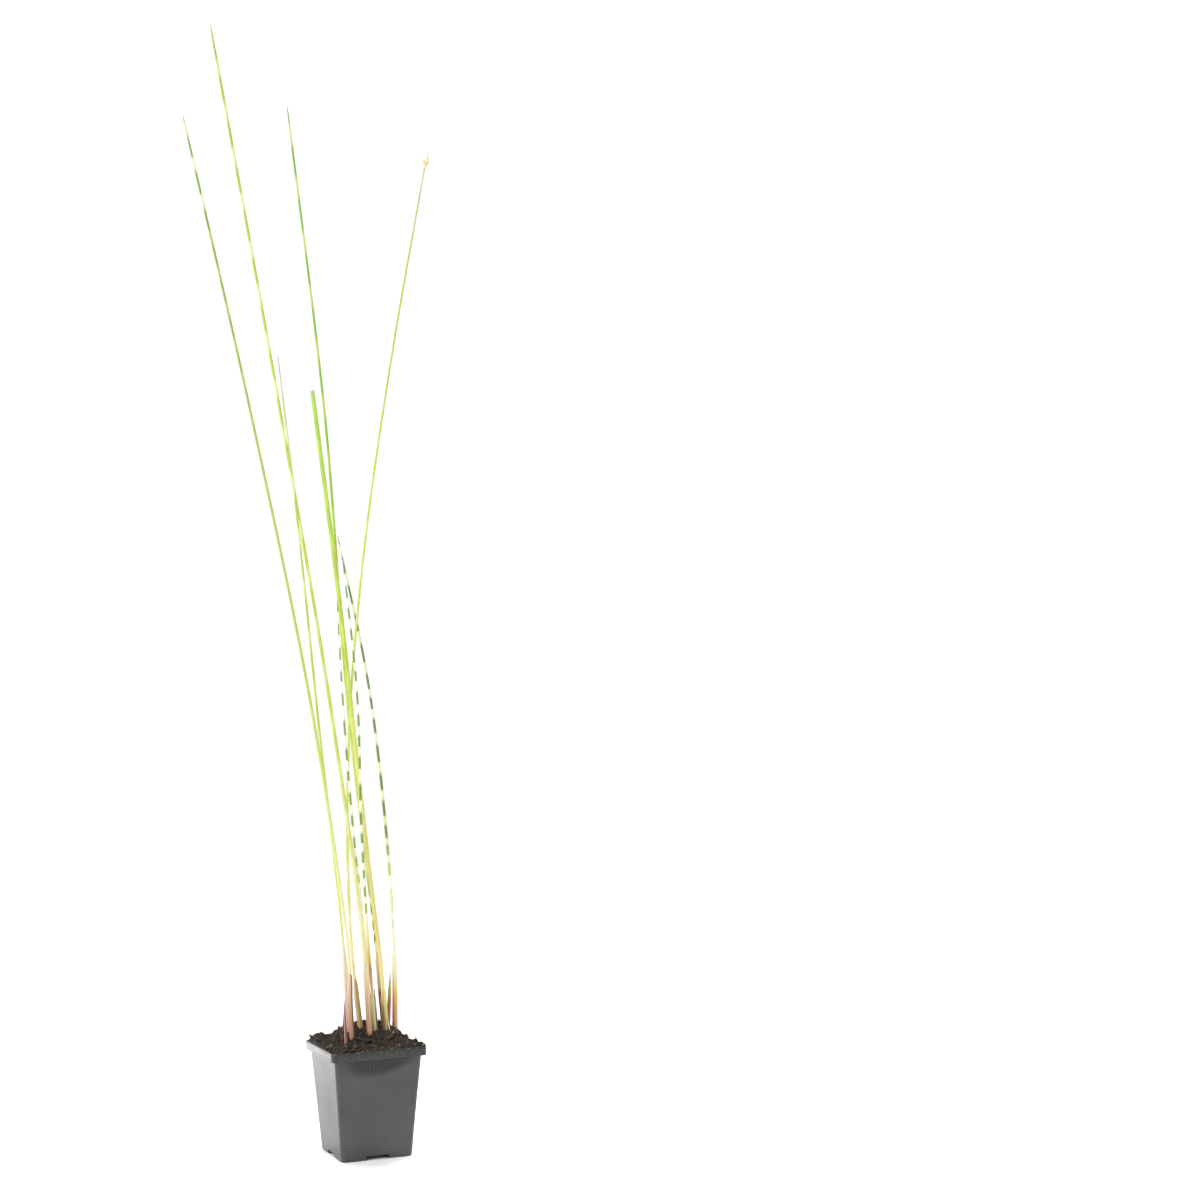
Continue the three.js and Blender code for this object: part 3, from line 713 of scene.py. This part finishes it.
ribbed_outline = outline_of(2 * CULM_RIBS, rib=0.05)
clearance_up = Vector((0, 0, CLEARANCE))
for letter, culm in CULMS.items():
    points, distances = smooth_route(culm["route"], CULM_SPACING)
    if culm.get("cut"):
        points.insert(-1, points[-1] + (points[-2] - points[-1]).normalized() * CUT_BEVEL)
        distances = np.insert(distances, -1, distances[-1] - CUT_BEVEL)
    radii = [culm_radius(culm, distances[-1], distance) for distance in distances]
    stem = drawn(points, radii, ribbed_outline)
    mark_stem(stem, points, distances, culm)
    smooth_under(45)
    banded = letter in "ghi"
    skin = stem_finish(f"culm_{letter}_skin", culm["green"], 0.42, culm["pale"],
                       uneven=0.25 if banded else 1.0)
    slot = "banded_culm" if banded else "green_culm"
    hand_over(stem, f"stem_{letter}", slot, skin, f"culm_{letter}")
    foot = Vector(culm["route"][0]) / 1000
    bore(rhizome, [foot - clearance_up, points[POCKET_TOP]], [radii[0] + CLEARANCE] * 2)
mend_cuts(rhizome)
bpy.ops.object.shade_smooth()
hand_over(rhizome, "rootstock", "rhizome", root_skin.material, "rhizome")


# The basal sheaths. A thin bladeless leaf sheath wraps the foot of each culm: salmon, amber or brown,
# papery, finely veined, slightly flared below, and open above in a slanting mouth with a thin pale margin.

SHEATH_WALL = 0.0006
SHEATH_START = 0.005
SHEATH_FLARE = 0.00035
SHEATH_SLANT = 0.02
FINE_SPACING = 0.002
SHEATH_COLOURS = {
    "a": "0 #a86a48, 20 #d8a080, 55 #e8bc9c, 80 #f0d4b0, 100 #f0e4bc",
    "b": "0 #8a5038, 25 #cc9c80, 50 #e0bc90, 80 #f0dcb0, 100 #f0e6bc",
    "c": "0 #4a2c1c, 45 #6b4530, 58 #8a5c3c, 66 #d2bc8c, 100 #e8dcac",
    "d": "0 #8a6038, 20 #c8a070, 50 #ecd8ac, 80 #f0dcae, 100 #f0e4b8",
    "e": "0 #a05848, 25 #e0ac98, 50 #f0d0b8, 80 #f4e0c4, 100 #f2eacc",
    "f": "0 #5f4a20, 25 #8f7c38, 50 #b4a850, 75 #dcd884, 100 #e6e29c",
    "g": "0 #b07c54, 20 #dca684, 34 #dca478, 42 #e6a458, 52 #f0b860, 62 #f4dc9c, 75 #f6ecc8, 100 #f8f2d8",
    "h": "0 #a8786a, 40 #d8a68e, 62 #dcb48c, 80 #e6c894, 100 #ecdca8",
    "i": "0 #6a7030, 30 #b0a860, 60 #dcd492, 85 #ece4b0, 100 #f0e8bc",
}
# The strip of painted shade down one side of a sheath: which side, where it starts and its colours from the
# foot up.
SHEATH_PAINTED_SHADE_SIDES = {
    "a": (1, 0.3, "0 #6a4030"),
    "d": (1, -0.1, "0 #a08c3c"),
    "f": (-1, -0.15, "0 #4a2a14, 55 #5c3418, 72 #8a5c34, 88 #c8a468, 100 #dccc84"),
    "g": (-1, 0.2, "0 #6e4440, 40 #8a625c, 58 #b0948c, 75 #d8ccc0, 100 #efe9d8"),
    "i": (1, 0.4, "0 #4a4028, 60 #5a4a34, 100 #b0a070"),
}


def bottom_radius(culm, share):
    """The outside of a sheath, wider at its base."""
    return culm["foot"] / 2000 + CLEARANCE + SHEATH_WALL + SHEATH_FLARE * (1 - share) ** 2


def sheath_round(culm):
    """A thin tube round the foot of a culm, cut off on the slant above."""
    reach = culm["sheath"] / 1000
    points, distances = smooth_route(culm["route"], FINE_SPACING)
    kept = [number for number, distance in enumerate(distances) if SHEATH_START <= distance <= reach + 0.001]
    points = [points[number] for number in kept]
    distances = distances[kept]
    shares = np.clip((distances - SHEATH_START) / (reach - SHEATH_START), 0, 1)
    tube = drawn(points, [bottom_radius(culm, share) for share in shares], plain_outline, capped=False)
    middle = int(np.argmin(abs(distances - (reach - SHEATH_SLANT / 2))))
    ahead = (points[middle + 1] - points[middle - 1]).normalized()
    across = (Vector((1, 0, 0)) - ahead * ahead.x).normalized()
    slope = ahead + ahead.cross(across) * SHEATH_SLANT / (2 * bottom_radius(culm, 1))
    enter("EDIT")
    bpy.ops.mesh.select_all(action="SELECT")
    bpy.ops.mesh.bisect(plane_co=points[middle], plane_no=slope.normalized(), clear_outer=True)
    enter("OBJECT")
    apply_modifier(tube, "SOLIDIFY", thickness=SHEATH_WALL, offset=-1)
    mark_stem(tube, points, distances)
    return tube


for letter, culm in CULMS.items():
    tube = sheath_round(culm)
    pick(tube)
    smooth_under(50)
    husk = stem_finish(f"sheath_{letter}_husk", SHEATH_COLOURS[letter], 0.5, flecks="#5a3222",
                       streaks=0.2 if letter in "gi" else 0.5, side=SHEATH_PAINTED_SHADE_SIDES.get(letter))
    hand_over(tube, f"husk_{letter}", "sheath", husk, f"sheath_{letter}")


# The young shoots. Six short spears beside the culms, each a pointed bud rolled in an older sheath: three
# red ones, a brown one, an olive one and a grey-green one with a red-brown foot.

SHOOT_PROFILE = (1, 1.05, 0.95, 0.8, 0.55, 0.28)
BLUNT_PROFILE = (1, 1.05, 1, 0.98, 0.85, 0.25)
SHOOTS = {
    "front_red": ((-22, -11, 92), (-23, -10, 138), 2.8, "0 #a05060, 30 #b06068, 55 #8a4444, 100 #7a3c3c"),
    "left_red": ((-18, 13, 92), (-15, 12, 152), 3.4, "0 #3f1a18, 40 #5f2a28, 75 #8a483e, 100 #b98a6a"),
    "dark_red": ((25.5, -5, 92), (26, -4.5, 124), 2.2, "0 #4a1c1c, 60 #7a2f2e, 100 #8f4a40"),
    "back_brown": ((17, 13, 92), (14, 15, 150), 2.6, "0 #3a2618, 50 #5c4028, 100 #7a6040"),
    "olive": ((20, 5, 92), (18, 6, 135), 2.6, "0 #5c5a2a, 50 #868a3e, 100 #a3a858"),
    "grey_green": ((20, -4, 92), (24, -4, 167), 3.8, "0 #6a3026, 30 #94503c, 55 #b06a50, 66 #b08050, "
                   "74 #b8b04c, 86 #c4c878, 94 #c0ccb0, 100 #ccd4c0"),
}
# A strip down the left of two of them: a painted highlight on the front red one and painted shade on the
# grey-green one.
SHOOT_PAINTED_LIGHT_AND_SHADE_SIDES = {"front_red": (-1, 0.3, "0 #dca8a0"), "grey_green": (-1, 0.5, "0 #7a7a28")}


def on_profile(shares, profile):
    """The values at some shares of the way along a profile of evenly spaced values."""
    return np.interp(shares, np.linspace(0, 1, len(profile)), profile)


for name, (foot, tip, thickness, colours) in SHOOTS.items():
    points, distances = smooth_route((foot, tip), FINE_SPACING)
    profile = BLUNT_PROFILE if name == "grey_green" else SHOOT_PROFILE
    bud = drawn(points, on_profile(distances / distances[-1], profile) * thickness / 2000, plain_outline)
    mark_stem(bud, points, distances)
    smooth_under(50)
    slot = "red_shoot" if name.endswith("red") else "young_shoot"
    skin = stem_finish(f"{name}_bud_skin", colours, 0.45, flecks="#4a2620", streaks=0.5,
                       side=SHOOT_PAINTED_LIGHT_AND_SHADE_SIDES.get(name))
    hand_over(bud, f"bud_{name}", slot, skin, f"shoot_{name}")


# The withered sheath. One loose, curled, straw-coloured strip of an old leaf sheath hangs against the front
# of the thick culm's foot, its lower end in the peat.

STRIP_ROUTE = ((20, -16, 100), (19, -14.6, 117), (15.5, -13, 136))
STRIP_HALF_WIDTH = 0.00095
STRIP_PROFILE = (1, 1, 0.9, 0.7, 0.35)
STRIP_CLEARANCE = 0.0004
strip_outline = outline_of(16, depth=0.28)
strip_points, strip_distances = smooth_route(STRIP_ROUTE, 0.0015)
strip_widths = on_profile(strip_distances / strip_distances[-1], STRIP_PROFILE) * STRIP_HALF_WIDTH
strip = drawn(strip_points, strip_widths, strip_outline)
mark_stem(strip, strip_points, strip_distances)
smooth_under(60)
straw = stem_finish("withered_straw", "0 #f0e4c8, 40 #fbf4e0, 75 #f4ecc4, 100 #e0d498", 0.7, flecks="#7a5c38")
hand_over(strip, "withered_strip", "dry_strip", straw, "dry_sheath_strip")


# The flowers. Seven small straw-brown spikelets of overlapping scales on short rays, in a loose tuft at
# the tip of the bent culm, and beside them the stiff pale bract that carries the culm's line on.

SPIKELETS = 7
SPIKELET_TURN = 2.4
SPIKELET_TIER = 1.8
SPIKELET_FROM = 0.8
SPIKELET_REACH = 3
SPIKELET_LENGTH = 5.2
SPIKELET_RADIUS = 0.0013
SPIKELET_PROFILE = (0.35, 0.85, 1, 0.75, 0.25)
SPIKELET_STEPS = 19
SCALE_STEPS = 3
small_outline = outline_of(10)
tip_points = smooth_route(CULMS["d"]["route"], CULM_SPACING)[0]
upwards = (tip_points[-1] - tip_points[-2]).normalized()
leaning = Vector((0, 0, 1)).rotation_difference(upwards).to_matrix().to_4x4()
onto_tip = Matrix.Translation(tip_points[-1]) @ leaning
tuft = [drawn([Vector((0, 0, 0.0003)), Vector((0, 0, 0.0015)), Vector((0, 0, 0.003))],
              (0.0009, 0.0011, 0.0008), small_outline)]
for number in range(SPIKELETS):
    angle = number * SPIKELET_TURN
    foot_height = 1 + number % 3 * SPIKELET_TIER
    outwards = Vector((math.cos(angle), math.sin(angle), 0))
    foot = (outwards * SPIKELET_FROM + Vector((0, 0, foot_height))) / 1000
    head = (outwards * SPIKELET_REACH + Vector((0, 0, foot_height + SPIKELET_LENGTH))) / 1000
    along = np.linspace(0, 1, SPIKELET_STEPS)
    full = on_profile(along, SPIKELET_PROFILE)
    scaly = [width * (1.06 - 0.16 * (step % SCALE_STEPS) / 2) for step, width in enumerate(full)]
    tuft.append(drawn([foot.lerp(head, share) for share in along],
                      [SPIKELET_RADIUS * width for width in scaly], small_outline))
    tuft.append(drawn([Vector((0, 0, 0.0012)), foot.lerp(head, 0.1)], (0.0004, 0.0004), small_outline))
spikelets = joined(tuft)
spikelets.data.transform(onto_tip)
smooth_under(30)
scales = Nodes("straw_brown_scales")
mottled = scales.noise(scales.here(), 1100, 3, 0.6)
straws = scales.ramp(mottled, stops("32 #dfc08e, 50 #f0dcb0, 66 #f8f0da"))
scales.finish(straws, 0.6)
scales.relief(mottled, 0.4, 0.0002)
hand_over(spikelets, "flower_spikelets", "spikelets", scales.material, "flower_cluster")
bract_points, bract_distances = smooth_route(((0, 0, 1.5), (0.4, 0, 8), (1, 0, 15)), 0.001)
bract_shares = bract_distances / bract_distances[-1]
bract_radii = np.interp(bract_shares, (0, 0.35, 0.7, 1), (0.55, 0.55, 0.5, 0.3)) / 1000
bract = drawn(bract_points, bract_radii, small_outline)
mark_stem(bract, bract_points, bract_distances)
bract.data.transform(onto_tip)
smooth_under(50)
bract_skin = stem_finish("stiff_bract_skin", "0 #d4d8a0, 60 #e8dcb4, 100 #dcc8a8", 0.5)
hand_over(bract, "flower_bract", "spikelets", bract_skin)


# The peat. Dark, coarse, fibrous potting peat filled in round the rootstock up to the rim, with the old root
# ball standing up behind the middle, a small mound in front of it and two corners heaped. The stems stand in
# plain holes in it.

PEAT_INSET = POT_WALL + CLEARANCE
PEAT_EDGE = 0.1005
PEAT_LEVEL = 0.1034
PEAT_HEAPS = ((0.006, 0.018, 0.0135, 0.0305), (0.020, -0.012, 0.011, 0.013),
              (-0.038, 0.038, 0.0045, 0.011), (0.038, -0.038, 0.0035, 0.010))
PEAT_RINGS = 60
PEAT_CORNER = 0.0034
PEAT_CUTS = 41
PEAT_FADE = 0.006
CLOD_MILLIMETRES = 5
CRUMB_MILLIMETRES = 2.2
CRUMB_RELIEF = 0.0016
STEM_HOLE_DEPTH = 0.045
AT_THE_SURFACE = 4


def peat_height(x, y):
    """The top of the peat over a place, with its heaps and clods."""
    heaped = max(rise * math.exp(-((math.hypot(x - at_x, y - at_y) / spread) ** 4))
                 for at_x, at_y, rise, spread in PEAT_HEAPS)
    broad = math.sin(710 * x + 300 * y) * math.sin(520 * y - 400 * x)
    small = math.sin(1270 * x - 900 * y + 1) * math.sin(1100 * y + 600 * x)
    return PEAT_LEVEL + heaped + 0.0015 * (broad + 0.7 * small)


deselect()
peat_bottom = cross_height + CLEARANCE
peat_side = body_side(peat_bottom) - 2 * PEAT_INSET
peat_rim = POT_COLLAR - 2 * PEAT_INSET
peat = block((peat_side, peat_side, 0.001), (0, 0, peat_bottom + 0.0005))
shelf = POT_SHOULDER_HEIGHT + PEAT_INSET
enter("EDIT")
choose_top(peat)
draw_on(peat, shelf, POT_SHOULDER - 2 * PEAT_INSET)
choose_edges(peat, climbs)
bpy.ops.mesh.bevel(offset=PEAT_CORNER, segments=5, affect="EDGES")
choose_edges(peat, spans_a_side)
bpy.ops.mesh.subdivide(number_cuts=PEAT_CUTS)
enter("OBJECT")
enter("EDIT")
choose_top(peat)
draw_on(peat, shelf, peat_rim)
draw_on(peat, PEAT_EDGE, peat_rim)
for ring in range(1, PEAT_RINGS):
    draw_on(peat, PEAT_EDGE, peat_rim * (1 - ring / PEAT_RINGS))
enter("OBJECT")
for point in peat.data.vertices:
    if point.co.z > PEAT_EDGE - TOUCHING:
        inwards = peat_rim / 2 - max(abs(point.co.x), abs(point.co.y))
        millimetres = point.co * 1000
        crumbly = noise.fractal(millimetres / CLOD_MILLIMETRES, 1.0, 2.2, 4)
        crumbly += abs(noise.noise(millimetres / CRUMB_MILLIMETRES))
        top = peat_height(point.co.x, point.co.y) + crumbly * CRUMB_RELIEF
        point.co.z = PEAT_EDGE + (top - PEAT_EDGE) * min(1, inwards / PEAT_FADE)
combine(peat, rootstock(CLEARANCE), "DIFFERENCE")
standing = []
for culm in CULMS.values():
    points, distances = smooth_route(culm["route"], CULM_SPACING)
    buried = [point for point, distance in zip(points, distances) if distance <= STEM_HOLE_DEPTH + TOUCHING]
    radius = bottom_radius(culm, 0)
    bore(peat, buried, [radius + CLEARANCE] * len(buried))
    standing.append((buried[AT_THE_SURFACE], radius))
for foot, tip, thickness, colours in SHOOTS.values():
    foot, tip = Vector(foot) / 1000, Vector(tip) / 1000
    radius = max(SHOOT_PROFILE) * thickness / 2000 + CLEARANCE
    bore(peat, [foot - clearance_up, foot.lerp(tip, 0.9)], [radius] * 2)
    standing.append((foot, radius))
bore(peat, [strip_points[0] - clearance_up, *strip_points[1:]], strip_widths + STRIP_CLEARANCE)
standing.append((strip_points[0], STRIP_HALF_WIDTH))
mend_cuts(peat)
smooth_under(40)

soil = Nodes("dark_potting_peat")
here = soil.here()
clods = soil.noise(here, 190, 5, 0.65)
crumb_tone = soil.noise(here, 620, 4, 0.7)
specks = soil.noise(here, 1250, 2, 0.5)
earth = soil.ramp(clods, stops("36 #090604, 50 #1f1710, 66 #433426"))
earth = soil.mix(soil.scaled(crumb_tone, 0.52, 0.72, 0, 0.6), earth, paint("#625040"))
earth = soil.mix(soil.scaled(specks, 0.7, 0.76, 0, 0.8), earth, paint("#a09070"))
soil.finish(earth, 0.92)
soil.relief(crumb_tone, 1.0, 0.0012)
hand_over(peat, "potting_peat", "peat", soil.material, "soil")


# The loose crumbs. Broken peat, small clods and bits of bark lie scattered on the peat, a few of them on the
# very edge of the pot, with short brown root fibres between them. All are pressed a little into the surface.

CRUMBS = 640
BIG_CLODS = 70
SPILLED = 18
FIBRES = 60
FIBRE_SHAPE = ((-1, 0, 0), (-0.3, 0.12, 0.1), (0.35, 0.05, 0.16), (1, -0.2, 0.02))
CRUMB_MASTERS = 4
CLOD_SIZES = (0.0014, 0.003)
CRUMB_SIZES = (0.0004, 0.0012)
SPILLED_SIZES = (0.0005, 0.001)
SPILLED_ALONG = (-0.036, 0.022)
SPILLED_LINE = 0.0017
RIM_MARGIN = 0.0012
STEM_MARGIN = 0.0018
SEED = 11
scatter = random.Random(SEED)


def place_on_peat():
    """A seeded place on top of the peat that no stem stands in."""
    while True:
        x, y = (scatter.uniform(-1, 1) * (peat_rim / 2 - RIM_MARGIN) for axis in range(2))
        if all(math.hypot(x - middle.x, y - middle.y) > radius + STEM_MARGIN for middle, radius in standing):
            hit, place, normal, face = peat.ray_cast(Vector((x, y, 0.2)), Vector((0, 0, -1)))
            if hit and place.z > PEAT_EDGE - 0.001:
                return place


def lay(master, place, size, flatness):
    """A turned and stretched copy of a master piece, laid at a place."""
    copy = bpy.data.objects.new("laid", master.data.copy())
    bpy.context.collection.objects.link(copy)
    turn = (Matrix.Rotation(scatter.uniform(0, math.tau), 4, "Z")
            @ Matrix.Rotation(scatter.gauss(0, 0.35), 4, "X"))
    wide = scatter.uniform(0.75, 1.25)
    stretch = Matrix.Diagonal((size * wide, size, size * flatness, 1))
    copy.data.transform(Matrix.Translation(place) @ turn @ stretch)
    return copy


masters = []
for number in range(CRUMB_MASTERS):
    deselect()
    bpy.ops.mesh.primitive_ico_sphere_add(subdivisions=2, radius=1)
    master = bpy.context.object
    for point in master.data.vertices:
        lump = noise.noise(point.co * 1.3 + Vector((number * 7, 0, 0))) * 0.55
        point.co *= 1 + lump + noise.noise(point.co * 3.1 + Vector((0, number * 5, 0))) * 0.25
    masters.append(master)
crumbs = []
for number in range(CRUMBS):
    size = scatter.uniform(*(CLOD_SIZES if number < BIG_CLODS else CRUMB_SIZES))
    place = place_on_peat() + Vector((0, 0, size * 0.25))
    crumbs.append(lay(scatter.choice(masters), place, size, scatter.uniform(0.55, 0.9)))
for number in range(SPILLED):
    size = scatter.uniform(*SPILLED_SIZES)
    place = Vector((scatter.uniform(*SPILLED_ALONG), SPILLED_LINE - POT_COLLAR / 2, POT_HEIGHT + size * 0.3))
    crumbs.append(lay(scatter.choice(masters), place, size, 0.7))
loose = joined(crumbs)
for master in masters:
    bpy.data.objects.remove(master)
smooth_under(50)
crumb_mix = Nodes("crumbs_and_bark")
here = crumb_mix.here()
each = crumb_mix.noise(here, 240, 1)
rough_skin = crumb_mix.noise(here, 1400, 4, 0.7)
tone = crumb_mix.ramp(each, stops("34 #120d09, 50 #261c11, 60 #453626, 68 #6c5b44, 74 #8a785c"))
crumb_mix.finish(crumb_mix.mix(crumb_mix.scaled(rough_skin, 0.4, 0.7, 0, 0.5), tone, paint("#1a130d")), 0.9)
crumb_mix.relief(rough_skin, 0.8, 0.0005)
hand_over(loose, "loose_crumbs", "peat", crumb_mix.material)

fibre_outline = outline_of(5)
fibre = drawn([Vector(place) for place in FIBRE_SHAPE], (0.04, 0.06, 0.06, 0.035), fibre_outline)
threads = [lay(fibre, place_on_peat() + clearance_up, scatter.uniform(0.002, 0.005), 1)
           for number in range(FIBRES)]
bpy.data.objects.remove(fibre)
root_fibres = joined(threads)
bpy.ops.object.shade_smooth()
fibre_skin = Nodes("dry_root_fibres")
fibre_tone = fibre_skin.noise(fibre_skin.here(), 160, 2)
browns = fibre_skin.ramp(fibre_tone, stops("35 #3d2c1e, 55 #67513a, 70 #8c7858"))
fibre_skin.finish(browns, 0.85)
hand_over(root_fibres, "root_fibres", "peat", fibre_skin.material)
for outline in (plain_outline, ribbed_outline, strip_outline, small_outline, fibre_outline):
    bpy.data.objects.remove(outline)


# The studio. A plain white floor and a white surround, a very soft key light high on the left in front, two
# large lamps behind, two narrow ones for the floor and a faint one for the pot's left wall. The camera stands
# two metres off, a little above the pot.

FLOOR_SIZE = 60
SURROUND_LIGHT = 0.7
SURROUND_SEEN = 1.05
deselect()
bpy.ops.mesh.primitive_plane_add(size=FLOOR_SIZE)
floor = bpy.context.object
floor.name = "studio_floor"
floor_paint = Nodes("white_floor_paint")
floor_paint.finish((0.95, 0.95, 0.95, 1), 0.9)
floor.data.materials.append(floor_paint.material)

surround = bpy.data.worlds.new("white_surround")
surround.use_nodes = True
seen = surround.node_tree.nodes.new("ShaderNodeLightPath")
brightness = surround.node_tree.nodes.new("ShaderNodeMapRange")
brightness.inputs["To Min"].default_value = SURROUND_LIGHT
brightness.inputs["To Max"].default_value = SURROUND_SEEN
surround.node_tree.links.new(seen.outputs["Is Camera Ray"], brightness.inputs["Value"])
backdrop = surround.node_tree.nodes["Background"]
backdrop.inputs["Color"].default_value = (1, 1, 1, 1)
surround.node_tree.links.new(brightness.outputs[0], backdrop.inputs["Strength"])
bpy.context.scene.world = surround


def shine(kind, name, place, aim, **settings):
    """A lamp that shines from one place at another."""
    bpy.ops.object.light_add(type=kind, location=place)
    lamp = bpy.context.object
    lamp.name = name
    lamp.rotation_euler = (Vector(aim) - lamp.location).to_track_quat("-Z", "Y").to_euler()
    lamp.visible_camera = False
    for key, value in settings.items():
        setattr(lamp.data, key, value)


shine("SUN", "soft_key_light", (-1.25, -1.0, 1.6), (0, 0, 0.3), energy=1.9, angle=math.radians(60))
shine("AREA", "left_back_light", (-0.9, 1.3, 1.0), (-0.15, 0.4, 0), energy=10, size=1.4)
shine("AREA", "right_back_light", (1.2, 1.5, 0.6), (0, 0, 0.1), energy=9, size=1.2)
shine("AREA", "left_floor_light", (-0.25, 0.95, 0.9), (-0.2, 0.55, 0), energy=1.6, size=0.5,
      spread=math.radians(55))
shine("AREA", "left_edge_light", (-0.16, 0.36, 0.05), (-0.045, 0.02, 0.05), energy=0.1, size=0.12)
shine("AREA", "right_floor_light", (0.4, 0.25, 0.9), (0.24, 0.14, 0), energy=1.15, size=0.4,
      spread=math.radians(45))

CAMERA_PLACE = (-0.6063, -1.9193, 0.445)
CAMERA_HEADING = math.radians(-24)
CAMERA_TILT = math.radians(92.05)
CAMERA_ROLL = math.radians(-0.8)
CAMERA_LENS = 63.24
bpy.ops.object.camera_add()
camera = bpy.context.object
camera.data.lens = CAMERA_LENS
camera.data.sensor_width = 36
camera.matrix_world = (Matrix.Translation(CAMERA_PLACE) @ Matrix.Rotation(CAMERA_HEADING, 4, "Z")
                       @ Matrix.Rotation(CAMERA_TILT, 4, "X") @ Matrix.Rotation(CAMERA_ROLL, 4, "Z"))
bpy.context.scene.camera = camera
bpy.context.scene.view_settings.view_transform = "Standard"
